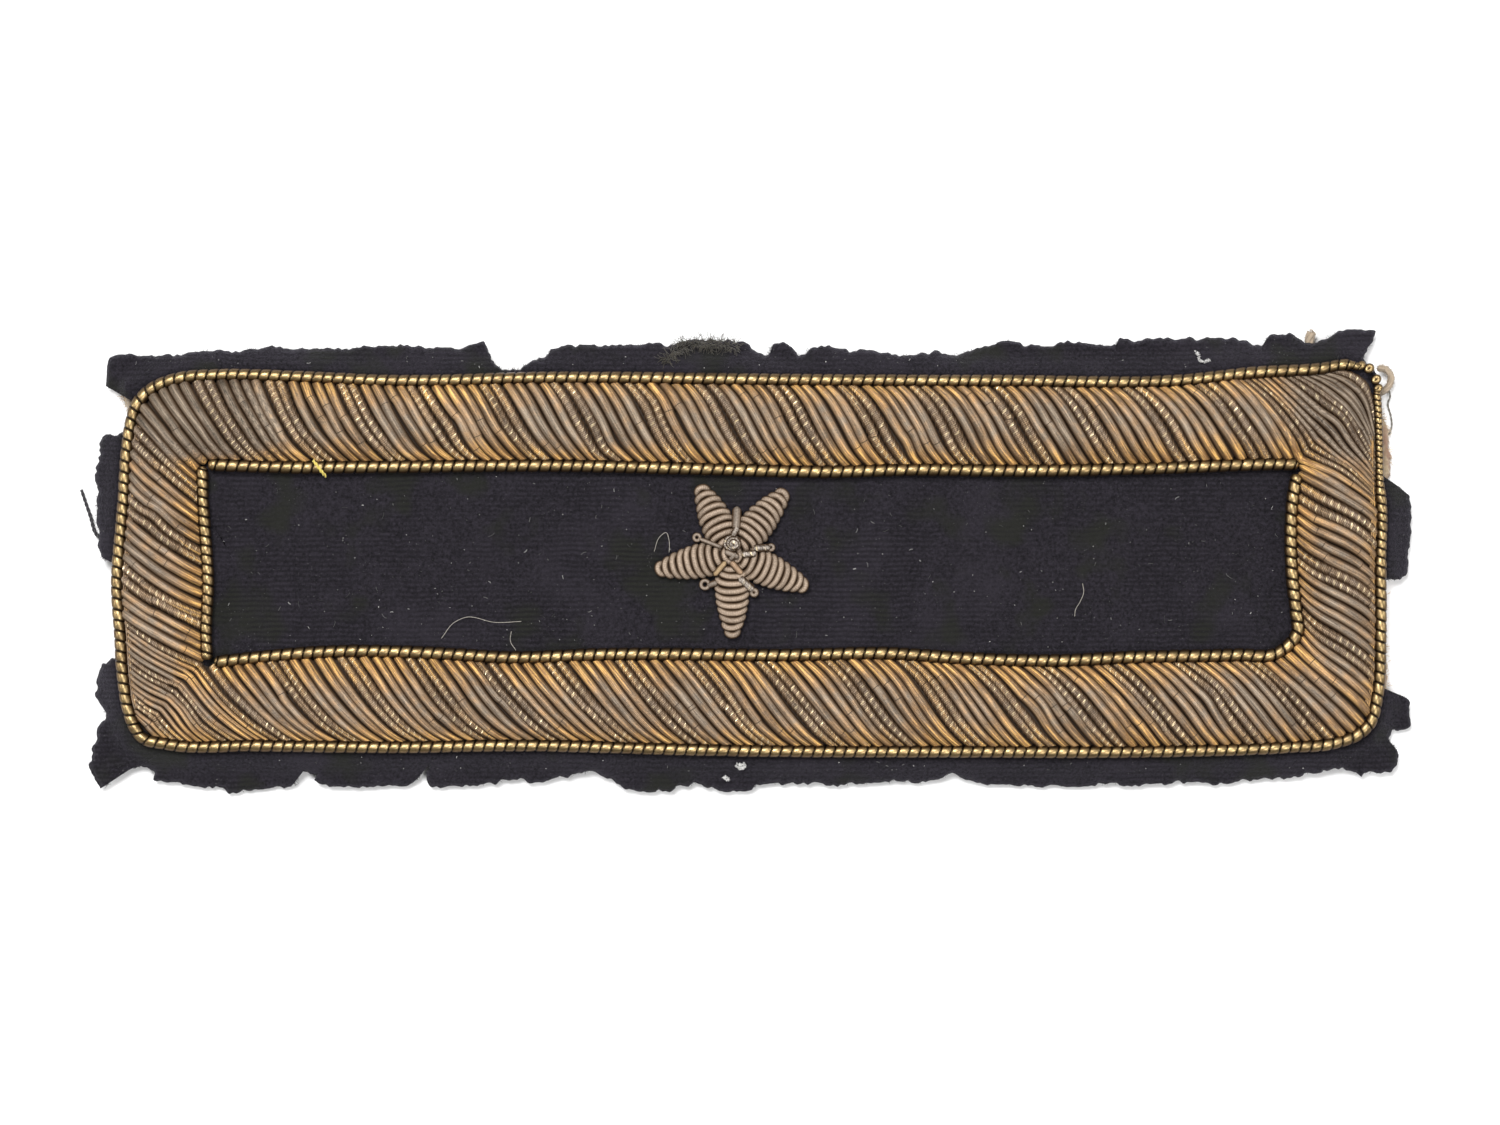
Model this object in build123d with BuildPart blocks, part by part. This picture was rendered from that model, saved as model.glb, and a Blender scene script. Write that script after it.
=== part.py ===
from build123d import *
import math
import os
from collections import namedtuple

# An embroidered shoulder strap, lying face up. Millimetres.
# X runs along the strap, Y across it, Z out of the embroidered face.
# The origin is on the back face, under the middle of the strap.

# Overall sizes, measured between the centre lines of the two edging cords.
STRAP_LENGTH = 104.9
STRAP_WIDTH = 30.9
BORDER_END = 7.2  # width of the border at the two short ends
BORDER_SIDE = 7.6  # width of the border along the two long sides

# Edging cords, each a close metal coil couched along an edge of the border.
OUTER_CORD_DIAMETER = 1.04
INNER_CORD_DIAMETER = 1.12
CORD_JOINT_GAP = 0.3  # between the two ends of a cord, where they meet
BEND_SHARE = 0.45  # how much of the shorter run beside a bend of a cord its round takes up

# Cloth and backing.
CLOTH_THICKNESS = 1.0
BACKING_THICKNESS = 1.0
LAYER_GAP = 0.08  # between pieces that lie on each other
SIDE_GAP = 0.15  # between pieces that lie beside each other
CLOTH_MARGIN_TOP = 2.6  # cloth that stands out past the outer cord
CLOTH_MARGIN_BOTTOM = 2.8
CLOTH_MARGIN_LEFT = 2.0
CLOTH_MARGIN_RIGHT = 2.5
BACKING_LEDGE = 0.9  # backing past the outer cord at the right end
BACKING_INSET = 0.3  # backing short of the outer cord at the left end
BACKING_HEM = 0.35  # backing past the outer cord along the long sides
BACKING_CORNER_RADIUS = 2.2
BACKING_SQUARE_RADIUS = 0.5  # the top left corner, which shows

# The padded border.
BORDER_HEIGHT = 2.2
BORDER_WALL = 0.4  # upright foot of the border on each side
CROWN_FACETS = 8  # flats across the round crown of the border
MITRE_SLANT = math.sqrt(2)  # a clearance measured along a 45 degree mitre

# The star.
STAR_CENTRE_X = -1.5
STAR_CENTRE_Y = 0.7
STAR_TIP_ROOM = 0.9  # from the tip of a ray to the inner cord, with the star centred
RAY_SLIMNESS = 0.374  # a ray's width, as a share of the star's radius
RAY_HEIGHT = 1.35
RAY_WALL_SHARE = 0.25  # upright foot of a ray on each side, as a share of its height
KNOT_RADIUS = 0.88
SPOKE_DIAMETER = 0.62
SPOKE_START = 0.245  # where a spoke starts and ends, as shares of the star's radius
SPOKE_END = 0.56

# Heights of the layers.
CLOTH_BOTTOM = BACKING_THICKNESS + LAYER_GAP
CLOTH_TOP = CLOTH_BOTTOM + CLOTH_THICKNESS
STITCHED_BOTTOM = CLOTH_TOP + LAYER_GAP

HALF_LENGTH = STRAP_LENGTH / 2
HALF_WIDTH = STRAP_WIDTH / 2
INNER_HALF_LENGTH = HALF_LENGTH - BORDER_END
INNER_HALF_WIDTH = HALF_WIDTH - BORDER_SIDE

STAR_RADIUS = INNER_HALF_WIDTH - STAR_TIP_ROOM  # from the centre to the tip of a ray
RAY_WIDTH = RAY_SLIMNESS * STAR_RADIUS
RAY_START = KNOT_RADIUS + SIDE_GAP  # from the centre to the foot of a ray

# A row of an edge table is one bend of the edge.
# along: place along the side, as a share of the half length or half width
# out: distance outwards from the straight side, as a share of the side's named width
Bend = namedtuple("Bend", "along out")

# Each side is listed clockwise, as the cord is laid: top, right, bottom, left.
OUTER_CORD = {
    "top": [
        Bend(-0.935, -0.071), Bend(-0.900, -0.005), Bend(-0.850, 0.022), Bend(-0.720, 0.004),
        Bend(-0.580, -0.038), Bend(-0.300, -0.005), Bend(0.020, -0.026), Bend(0.400, -0.040),
        Bend(0.697, -0.028), Bend(0.800, 0.049), Bend(0.901, 0.088), Bend(0.960, 0.125),
    ],
    "right": [
        Bend(0.985, -0.050), Bend(0.889, -0.028), Bend(0.670, -0.006), Bend(0.426, 0.004),
        Bend(0.253, 0.029), Bend(0.000, 0.012), Bend(-0.383, 0.011), Bend(-0.728, -0.029),
        Bend(-0.870, -0.115),
    ],
    "bottom": [
        Bend(0.966, -0.150), Bend(0.926, -0.050), Bend(0.860, -0.012), Bend(0.648, 0.038),
        Bend(0.343, 0.040), Bend(0.068, 0.036), Bend(-0.084, 0.020), Bend(-0.388, -0.028),
        Bend(-0.529, -0.010), Bend(-0.783, -0.026), Bend(-0.928, -0.045), Bend(-0.966, -0.115),
    ],
    "left": [
        Bend(-0.880, -0.155), Bend(-0.780, -0.080), Bend(-0.642, -0.033), Bend(-0.383, 0.006),
        Bend(-0.092, 0.040), Bend(0.040, 0.022), Bend(0.318, -0.033), Bend(0.593, -0.071),
        Bend(0.765, -0.126), Bend(0.846, -0.179), Bend(0.913, -0.292),
    ],
}
INNER_CORD = {
    "top": [
        Bend(-0.985, 0.022), Bend(-0.849, 0.012), Bend(-0.672, 0.017), Bend(-0.339, 0.029),
        Bend(-0.098, -0.004), Bend(0.138, -0.037), Bend(0.313, -0.014), Bend(0.471, -0.025),
        Bend(0.749, 0.002), Bend(0.960, 0.046),
    ],
    "right": [
        Bend(0.900, 0.004), Bend(0.640, -0.008), Bend(0.328, -0.025), Bend(-0.117, -0.012),
        Bend(-0.509, 0.033), Bend(-0.740, 0.050),
    ],
    "bottom": [
        Bend(0.972, -0.042), Bend(0.897, -0.020), Bend(0.690, 0.008), Bend(0.574, 0.041),
        Bend(0.398, 0.018), Bend(0.256, -0.037), Bend(0.079, -0.018), Bend(-0.272, -0.025),
        Bend(-0.449, 0.008), Bend(-0.554, -0.030), Bend(-0.760, -0.058), Bend(-0.908, 0.008),
        Bend(-0.985, 0.052),
    ],
    "left": [
        Bend(-0.960, 0.036), Bend(-0.753, 0.010), Bend(-0.180, -0.012), Bend(0.328, 0.022),
        Bend(0.626, 0.044), Bend(0.880, 0.026),
    ],
}

# The ragged edge of the cloth. Here out is a share of that side's margin, past the outer cord.
CLOTH_EDGE = {
    "top": [
        Bend(-1.018, 0.56), Bend(-0.915, 0.69), Bend(-0.750, 0.91), Bend(-0.546, 0.95),
        Bend(-0.427, 1.07), Bend(-0.410, 0.48), Bend(-0.392, 0.24), Bend(-0.365, 0.27),
        Bend(-0.322, 0.85), Bend(-0.200, 1.01), Bend(-0.100, 1.17), Bend(-0.011, 1.04),
        Bend(0.022, 0.63), Bend(0.041, 1.01), Bend(0.073, 0.69), Bend(0.110, 0.99),
        Bend(0.160, 0.75), Bend(0.295, 0.82), Bend(0.408, 1.10), Bend(0.585, 1.01),
        Bend(0.723, 1.15), Bend(0.796, 1.04), Bend(0.864, 1.33), Bend(0.880, 1.10),
        Bend(0.940, 1.43), Bend(0.991, 1.39),
    ],
    "right": [
        Bend(1.080, 0.05), Bend(0.420, 0.06), Bend(0.404, 0.75), Bend(0.334, 1.05),
        Bend(0.048, 1.02), Bend(-0.086, 0.82), Bend(-0.100, 0.12), Bend(-0.735, 0.06),
        Bend(-0.744, 1.05), Bend(-0.889, 0.98), Bend(-0.900, 0.45), Bend(-0.981, 0.40),
        Bend(-1.067, 0.68),
    ],
    "bottom": [
        Bend(1.018, 0.67), Bend(0.966, 0.67), Bend(0.893, 0.71), Bend(0.762, 1.00),
        Bend(0.540, 1.08), Bend(0.367, 1.03), Bend(0.311, 0.73), Bend(0.222, 0.97),
        Bend(0.010, 1.15), Bend(-0.207, 1.09), Bend(-0.262, 0.67), Bend(-0.372, 0.91),
        Bend(-0.475, 1.12), Bend(-0.515, 0.58), Bend(-0.543, 1.12), Bend(-0.656, 1.12),
        Bend(-0.720, 0.70), Bend(-0.729, 1.06), Bend(-0.839, 1.15), Bend(-0.948, 0.91),
        Bend(-0.977, 0.58), Bend(-1.006, 0.85),
    ],
    "left": [
        Bend(-1.120, 1.23), Bend(-0.930, 0.98), Bend(-0.825, 0.65), Bend(-0.740, 1.02),
        Bend(-0.570, 0.90), Bend(-0.510, 0.23), Bend(-0.500, -0.10), Bend(0.005, -0.10),
        Bend(0.016, 0.35), Bend(0.027, 0.85), Bend(0.167, 1.00), Bend(0.604, 0.95),
        Bend(0.680, 0.85), Bend(0.700, -0.10), Bend(0.940, -0.15), Bend(0.955, 0.65),
    ],
}

# Where the border's sections cross the outer and the inner cord, as shares of the half length
# or half width at that cord. These fan out towards the mitre at each end of a side. Between them
# a long side has a square section at each bend of its inner cord.
Station = namedtuple("Station", "outer inner")
SIDE_FAN = [Station(0.850, 0.935), Station(0.930, 0.965)]
SIDE_FAN_START = 0.92
END_FAN = [Station(0.190, 0.320), Station(0.560, 0.740), Station(0.800, 0.870)]

# The place of each mitre on the two cords, as shares of the half length and half width there.
Corner = namedtuple("Corner", "outer_x outer_y inner_x inner_y")
CORNERS = {
    "top_left": Corner(-0.946, 0.935, -1.004, 1.018),
    "top_right": Corner(0.976, 1.012, 1.004, 1.035),
    "bottom_right": Corner(0.972, -0.893, 1.000, -0.960),
    "bottom_left": Corner(-0.970, -0.905, -1.003, -1.045),
}
# The two mitres that end each side of the border, in the order of its stations.
MITRES = {
    "top": ("top_left", "top_right"),
    "right": ("bottom_right", "top_right"),
    "bottom": ("bottom_left", "bottom_right"),
    "left": ("bottom_left", "top_left"),
}

# A row is one section of a ray: its place from foot to tip, then its width and height,
# as shares of the ray's length, the ray's width and the ray's height.
RaySection = namedtuple("RaySection", "along width height")
RAY_SECTIONS = [
    RaySection(0.00, 0.26, 0.55), RaySection(0.22, 0.62, 0.82), RaySection(0.45, 0.94, 1.00),
    RaySection(0.62, 1.00, 1.00), RaySection(0.80, 0.82, 0.88), RaySection(0.92, 0.52, 0.66),
    RaySection(1.00, 0.18, 0.36),
]
Ray = namedtuple("Ray", "name angle reach")
RAYS = [
    Ray("star_ray_down", -89.6, 1.00),
    Ray("star_ray_right", -23.8, 0.985),
    Ray("star_ray_upper_right", 49.5, 0.995),
    Ray("star_ray_upper_left", 115.3, 0.90),
    Ray("star_ray_left", 192.0, 0.93),
]


def edge_point(side, along, out, half_length, half_width, widths):
    """A point in the plane of the strap, from its share along a side and its share outwards."""
    if side == "top":
        return (along * half_length, half_width + out * widths[side])
    if side == "right":
        return (half_length + out * widths[side], along * half_width)
    if side == "bottom":
        return (along * half_length, -half_width - out * widths[side])
    return (-half_length - out * widths[side], along * half_width)


BORDER_WIDTHS = {
    "top": BORDER_SIDE, "right": BORDER_END, "bottom": BORDER_SIDE, "left": BORDER_END,
}
CLOTH_MARGINS = {
    "top": CLOTH_MARGIN_TOP, "right": CLOTH_MARGIN_RIGHT,
    "bottom": CLOTH_MARGIN_BOTTOM, "left": CLOTH_MARGIN_LEFT,
}


def route_points(table, half_length, half_width, widths):
    """The points of an edge table, side after side."""
    return [
        edge_point(side, bend.along, bend.out, half_length, half_width, widths)
        for side, bends in table.items()
        for bend in bends
    ]


def out_at(bends, along):
    """The out share of an edge table at any place along its side, in straight lines between rows."""
    rows = sorted(bends)
    if along <= rows[0].along:
        return rows[0].out
    for low, high in zip(rows, rows[1:]):
        if along <= high.along:
            part = (along - low.along) / (high.along - low.along)
            return low.out + part * (high.out - low.out)
    return rows[-1].out


def corner_radii(points):
    """One radius for each inner point, as large as its two straight runs allow."""
    radii = []
    for before, here, after in zip(points, points[1:], points[2:]):
        turn = math.radians((Vector(*here) - Vector(*before)).get_angle(Vector(*after) - Vector(*here)))
        shorter = min(math.dist(before, here), math.dist(here, after))
        radii.append(BEND_SHARE * shorter / math.tan(turn / 2))
    return radii


def cord_ends(points, diameter):
    """The first and last points, drawn back from each other so that the cord's ends don't meet."""
    start, end = Vector(*points[0]), Vector(*points[-1])
    room = (start - end).length
    middle = (start + end) / 2
    half_gap = (start - end).normalized() * (CORD_JOINT_GAP / 2)
    return (middle + half_gap, middle - half_gap) if room > diameter else (start, end)


def make_cord(label, table, half_length, half_width, diameter, first_side):
    """One edging cord: a round tube on straight runs joined by tangent arcs."""
    order = list(table)
    start = order.index(first_side)
    turned = {side: table[side] for side in order[start:] + order[:start]}
    flat = route_points(turned, half_length, half_width, BORDER_WIDTHS)
    height = STITCHED_BOTTOM + diameter / 2
    first, last = cord_ends(flat, diameter)
    points = [(first.X, first.Y, height)] + [(x, y, height) for x, y in flat]
    points.append((last.X, last.Y, height))
    radii = corner_radii(points)
    with BuildPart() as cord:
        with BuildLine() as route:
            FilletPolyline(*points, radius=radii)
        with BuildSketch(Plane(origin=route.line @ 0, z_dir=route.line % 0)):
            Circle(diameter / 2)
        sweep(path=route.line)
    print(label, "radii", [round(radius, 1) for radius in radii])
    expected = math.pi * diameter**2 / 4 * sum(edge.length for edge in route.edges())
    print(label, "volume", round(cord.part.volume, 3), "section times length", round(expected, 3))
    cord.part.label = label
    export_step(cord.part, f"parts/{label}.step")


def border_foot(outer_point, inner_point, slant):
    """The two feet of a border section, clear of the cords on both sides of it."""
    outer, inner = Vector(*outer_point), Vector(*inner_point)
    across = (inner - outer).normalized()
    outer_room = (OUTER_CORD_DIAMETER / 2 + SIDE_GAP) * slant
    inner_room = (INNER_CORD_DIAMETER / 2 + SIDE_GAP) * slant
    return outer + across * outer_room, inner - across * inner_room


def stations_between_mitres(side):
    """Where the sections of one side of the border cross its two cords, in order."""
    if side in ("left", "right"):
        fan, square = END_FAN, []
    else:
        fan = SIDE_FAN
        square = [
            Station(bend.along * INNER_HALF_LENGTH / HALF_LENGTH, bend.along)
            for bend in INNER_CORD[side]
            if abs(bend.along) < SIDE_FAN_START
        ]
    return sorted(square + fan + [Station(-row.outer, -row.inner) for row in fan])


def border_sections(side):
    """The feet of each section of one side of the border, from mitre to mitre."""
    feet = []
    for station in stations_between_mitres(side):
        outer = edge_point(
            side, station.outer, out_at(OUTER_CORD[side], station.outer),
            HALF_LENGTH, HALF_WIDTH, BORDER_WIDTHS,
        )
        inner = edge_point(
            side, station.inner, out_at(INNER_CORD[side], station.inner),
            INNER_HALF_LENGTH, INNER_HALF_WIDTH, BORDER_WIDTHS,
        )
        square = abs((Vector(*inner) - Vector(*outer)).normalized().dot(outward(side)))
        feet.append(border_foot(outer, inner, 1 / square))
    along = Vector(1, 0) if side in ("top", "bottom") else Vector(0, 1)
    for place, corner_name in zip((0, len(feet)), MITRES[side]):
        corner = CORNERS[corner_name]
        outer = (corner.outer_x * HALF_LENGTH, corner.outer_y * HALF_WIDTH)
        inner = (corner.inner_x * INNER_HALF_LENGTH, corner.inner_y * INNER_HALF_WIDTH)
        pull_back = along * (SIDE_GAP / 2 * MITRE_SLANT) * (1 if place == 0 else -1)
        foot = border_foot(outer, inner, MITRE_SLANT)
        feet.insert(place, tuple(point + pull_back for point in foot))
    return feet


def outward(side):
    """The direction that points out of the strap at a side."""
    return {"top": Vector(0, 1), "right": Vector(1, 0), "bottom": Vector(0, -1), "left": Vector(-1, 0)}[side]


def upright_plane(foot_a, foot_b):
    """The upright plane through two feet, with its X from the first foot to the second."""
    across = (foot_b - foot_a).normalized()
    return Plane(
        origin=(foot_a.X, foot_a.Y, STITCHED_BOTTOM), x_dir=across, z_dir=across.cross(Vector(0, 0, 1))
    )


def faceted_section(foot_a, foot_b):
    """A closed section of the border: flat foot, two short walls and a crown of equal flats."""
    width = (foot_b - foot_a).length
    rise = BORDER_HEIGHT - BORDER_WALL
    radius = (width**2 / 4 + rise**2) / (2 * rise)
    half_angle = math.asin(min(1.0, width / 2 / radius))
    crown = []
    for facet in range(CROWN_FACETS + 1):
        angle = half_angle * (1 - 2 * facet / CROWN_FACETS)
        crown.append((width / 2 + radius * math.sin(angle), BORDER_HEIGHT - radius * (1 - math.cos(angle))))
    with BuildSketch(upright_plane(foot_a, foot_b)) as section:
        with BuildLine():
            Polyline((0, 0), (width, 0), *crown, close=True)
        make_face()
    return section.sketch


def crowned_section(foot_a, foot_b, wall, height):
    """A closed section of a ray: flat foot, two short walls and a round crown."""
    width = (foot_b - foot_a).length
    with BuildSketch(upright_plane(foot_a, foot_b)) as section:
        with BuildLine():
            Line((0, wall), (0, 0))
            Line((0, 0), (width, 0))
            Line((width, 0), (width, wall))
            ThreePointArc((width, wall), (width / 2, height), (0, wall))
        make_face()
    return section.sketch


def make_border(side):
    """One side of the padded border, lofted from mitre to mitre."""
    with BuildPart() as border:
        for foot_a, foot_b in border_sections(side):
            add(faceted_section(foot_a, foot_b))
        loft(ruled=True)
    label = f"border_{side}"
    border.part.label = label
    export_step(border.part, f"parts/{label}.step")


def make_ray(ray):
    """One leaf-shaped ray of the star, lofted from its foot to its tip."""
    angle = math.radians(ray.angle)
    along = Vector(math.cos(angle), math.sin(angle))
    across = Vector(-along.Y, along.X)
    centre = Vector(STAR_CENTRE_X, STAR_CENTRE_Y)
    length = STAR_RADIUS * ray.reach - RAY_START
    with BuildPart() as leaf:
        for section in RAY_SECTIONS:
            middle = centre + along * (RAY_START + section.along * length)
            half = across * (section.width * RAY_WIDTH / 2)
            height = section.height * RAY_HEIGHT
            add(crowned_section(middle - half, middle + half, RAY_WALL_SHARE * height, height))
        loft(ruled=True)
    leaf.part.label = ray.name
    export_step(leaf.part, f"parts/{ray.name}.step")


def make_spoke(number, angle):
    """One short coiled spoke in the notch between two rays: a round bar with round ends."""
    radius = SPOKE_DIAMETER / 2
    start, end = SPOKE_START * STAR_RADIUS, SPOKE_END * STAR_RADIUS
    turn = math.radians(angle)
    along = Vector(math.cos(turn), math.sin(turn))
    centre = Vector(STAR_CENTRE_X, STAR_CENTRE_Y, STITCHED_BOTTOM + radius)
    plane = Plane(origin=centre, x_dir=along, z_dir=(0, 0, 1))
    with BuildPart() as spoke:
        with BuildSketch(plane):
            with BuildLine():
                Line((start, 0), (end, 0))
                RadiusArc((end, 0), (end - radius, radius), -radius)
                Line((end - radius, radius), (start + radius, radius))
                RadiusArc((start + radius, radius), (start, 0), -radius)
            make_face()
        revolve(axis=Axis(plane.origin, plane.x_dir))
    label = f"star_spoke_{number}"
    spoke.part.label = label
    export_step(spoke.part, f"parts/{label}.step")


os.makedirs("parts", exist_ok=True)

# The tan backing under everything. It shows past the outer cord at the right end.
BACKING_LENGTH = STRAP_LENGTH + BACKING_LEDGE - BACKING_INSET
BACKING_WIDTH = STRAP_WIDTH + 2 * BACKING_HEM
BACKING_MIDDLE = (BACKING_LEDGE + BACKING_INSET) / 2
with BuildPart() as backing:
    with BuildSketch():
        with Locations((BACKING_MIDDLE, 0)):
            Rectangle(BACKING_LENGTH, BACKING_WIDTH)
    extrude(amount=BACKING_THICKNESS)
    upright_edges = backing.edges().filter_by(Axis.Z)
    square_edge = upright_edges.sort_by(Axis.Y)[-2:].sort_by(Axis.X)[0]
    fillet(square_edge, BACKING_SQUARE_RADIUS)
    upright_edges = backing.edges().filter_by(Axis.Z)
    round_edges = upright_edges.sort_by(Axis.X)[-2:] + upright_edges.sort_by(Axis.Y)[:1]
    fillet(round_edges, BACKING_CORNER_RADIUS)
backing.part.label = "backing"
export_step(backing.part, "parts/backing.step")

# The dark wool ground, with its ragged margin.
with BuildPart() as cloth_ground:
    with BuildSketch(Plane.XY.offset(CLOTH_BOTTOM)):
        with BuildLine():
            Polyline(*route_points(CLOTH_EDGE, HALF_LENGTH, HALF_WIDTH, CLOTH_MARGINS), close=True)
        make_face()
    extrude(amount=CLOTH_THICKNESS)
cloth_ground.part.label = "cloth_ground"
export_step(cloth_ground.part, "parts/cloth_ground.step")

# The padded border, one piece for each side.
for side in BORDER_WIDTHS:
    make_border(side)

# The two edging cords. Each is laid clockwise from the corner where its ends meet.
make_cord("outer_cord", OUTER_CORD, HALF_LENGTH, HALF_WIDTH, OUTER_CORD_DIAMETER, "right")
make_cord("inner_cord", INNER_CORD, INNER_HALF_LENGTH, INNER_HALF_WIDTH, INNER_CORD_DIAMETER, "top")

# The star: five rays, a knot in the middle and a spoke in each notch.
for ray in RAYS:
    make_ray(ray)

for number, (ray, next_ray) in enumerate(zip(RAYS, RAYS[1:] + RAYS[:1]), start=1):
    gap_angle = (next_ray.angle - ray.angle) % 360
    make_spoke(number, ray.angle + gap_angle / 2)

with BuildPart() as star_centre:
    with Locations((STAR_CENTRE_X, STAR_CENTRE_Y, STITCHED_BOTTOM)):
        Sphere(KNOT_RADIUS, arc_size1=0, align=(Align.CENTER, Align.CENTER, Align.MIN))
star_centre.part.label = "star_centre"
export_step(star_centre.part, "parts/star_centre.step")
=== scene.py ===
"""An embroidered shoulder strap: wool, cotton, a border of coiled metal thread, cords, a star."""

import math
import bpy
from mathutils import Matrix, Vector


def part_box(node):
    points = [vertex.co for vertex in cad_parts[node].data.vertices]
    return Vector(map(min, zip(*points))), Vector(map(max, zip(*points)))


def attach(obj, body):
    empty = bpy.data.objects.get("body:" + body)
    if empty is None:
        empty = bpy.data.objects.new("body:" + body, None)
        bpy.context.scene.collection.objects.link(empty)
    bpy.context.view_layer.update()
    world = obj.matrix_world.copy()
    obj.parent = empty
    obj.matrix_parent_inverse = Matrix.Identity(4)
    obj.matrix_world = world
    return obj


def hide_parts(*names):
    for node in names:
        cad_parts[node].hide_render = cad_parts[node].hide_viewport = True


bl_info = {
    "name": "Embroidered Shoulder Strap",
    "version": (1, 0, 0),
    "blender": (4, 5, 0),
    "location": "View3D > Sidebar > Strap",
    "description": "Lays a cloth shoulder strap with a padded metal-thread border and a star",
    "category": "Add Mesh",
}

from collections import namedtuple

import bmesh
import bpy
import numpy as np
from mathutils import Vector

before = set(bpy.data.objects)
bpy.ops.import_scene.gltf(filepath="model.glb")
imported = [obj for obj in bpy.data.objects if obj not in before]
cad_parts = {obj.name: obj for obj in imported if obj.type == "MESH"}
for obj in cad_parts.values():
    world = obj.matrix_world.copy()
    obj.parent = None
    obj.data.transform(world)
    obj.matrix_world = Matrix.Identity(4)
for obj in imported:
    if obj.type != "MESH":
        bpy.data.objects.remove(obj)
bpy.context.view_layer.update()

MM = 0.001

# The strap between the centre lines of its outer cord, and the width of its border.
HALF_LENGTH = 52.45 * MM
HALF_WIDTH = 15.45 * MM
BORDER_END = 7.2 * MM
BORDER_SIDE = 7.6 * MM
INNER_HALF_LENGTH = HALF_LENGTH - BORDER_END
INNER_HALF_WIDTH = HALF_WIDTH - BORDER_SIDE
BORDER_WIDTHS = {"top": BORDER_SIDE, "right": BORDER_END, "bottom": BORDER_SIDE, "left": BORDER_END}

# Heights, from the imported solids.
BACKING_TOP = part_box("backing")[1].z
CLOTH_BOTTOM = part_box("cloth_ground")[0].z
CLOTH_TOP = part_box("cloth_ground")[1].z
STITCHED_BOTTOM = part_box("border_top")[0].z
BORDER_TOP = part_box("border_top")[1].z

# A row of a cord table is one bend of the cord. The first number is its place along the side, as a
# share of the half length or half width, and the second how far out it lies, as a share of the
# border's width there. The sides go clockwise, as the cord is laid.
OUTER_CORD = {
    "top": [
        (-0.935, -0.071), (-0.900, -0.005), (-0.850, 0.022), (-0.720, 0.004), (-0.580, -0.038),
        (-0.300, -0.005), (0.020, -0.026), (0.400, -0.040), (0.697, -0.028), (0.800, 0.049),
        (0.901, 0.088), (0.960, 0.125),
    ],
    "right": [
        (0.985, -0.050), (0.889, -0.028), (0.670, -0.006), (0.426, 0.004), (0.253, 0.029),
        (0.000, 0.012), (-0.383, 0.011), (-0.728, -0.029), (-0.870, -0.115),
    ],
    "bottom": [
        (0.966, -0.150), (0.926, -0.050), (0.860, -0.012), (0.648, 0.038), (0.343, 0.040),
        (0.068, 0.036), (-0.084, 0.020), (-0.388, -0.028), (-0.529, -0.010), (-0.783, -0.026),
        (-0.928, -0.045), (-0.966, -0.115),
    ],
    "left": [
        (-0.880, -0.155), (-0.780, -0.080), (-0.642, -0.033), (-0.383, 0.006), (-0.092, 0.040),
        (0.040, 0.022), (0.318, -0.033), (0.593, -0.071), (0.765, -0.126), (0.846, -0.179),
        (0.913, -0.292),
    ],
}
INNER_CORD = {
    "top": [
        (-0.985, 0.022), (-0.849, 0.012), (-0.672, 0.017), (-0.339, 0.029), (-0.098, -0.004),
        (0.138, -0.037), (0.313, -0.014), (0.471, -0.025), (0.749, 0.002), (0.960, 0.046),
    ],
    "right": [
        (0.900, 0.004), (0.640, -0.008), (0.328, -0.025), (-0.117, -0.012), (-0.509, 0.033),
        (-0.740, 0.050),
    ],
    "bottom": [
        (0.972, -0.042), (0.897, -0.020), (0.690, 0.008), (0.574, 0.041), (0.398, 0.018),
        (0.256, -0.037), (0.079, -0.018), (-0.272, -0.025), (-0.449, 0.008), (-0.554, -0.030),
        (-0.760, -0.058), (-0.908, 0.008), (-0.985, 0.052),
    ],
    "left": [
        (-0.960, 0.036), (-0.753, 0.010), (-0.180, -0.012), (0.328, 0.022), (0.626, 0.044),
        (0.880, 0.026),
    ],
}

# The inner cord is three lengths of coil, which meet at three corners: where each starts and ends,
# in millimetres.
INNER_RUNS = {
    "top": ((-45.1, 8.15), (45.65, 8.2)),
    "right_bottom": ((45.55, 7.35), (-44.6, -8.33)),
    "left": ((-45.25, -8.1), (-45.65, 8.0)),
}

# The cloths' edges and the places of short and loose pieces are in twelfths of a millimetre from
# the middle of the strap.
TWELFTH = MM / 12

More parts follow.
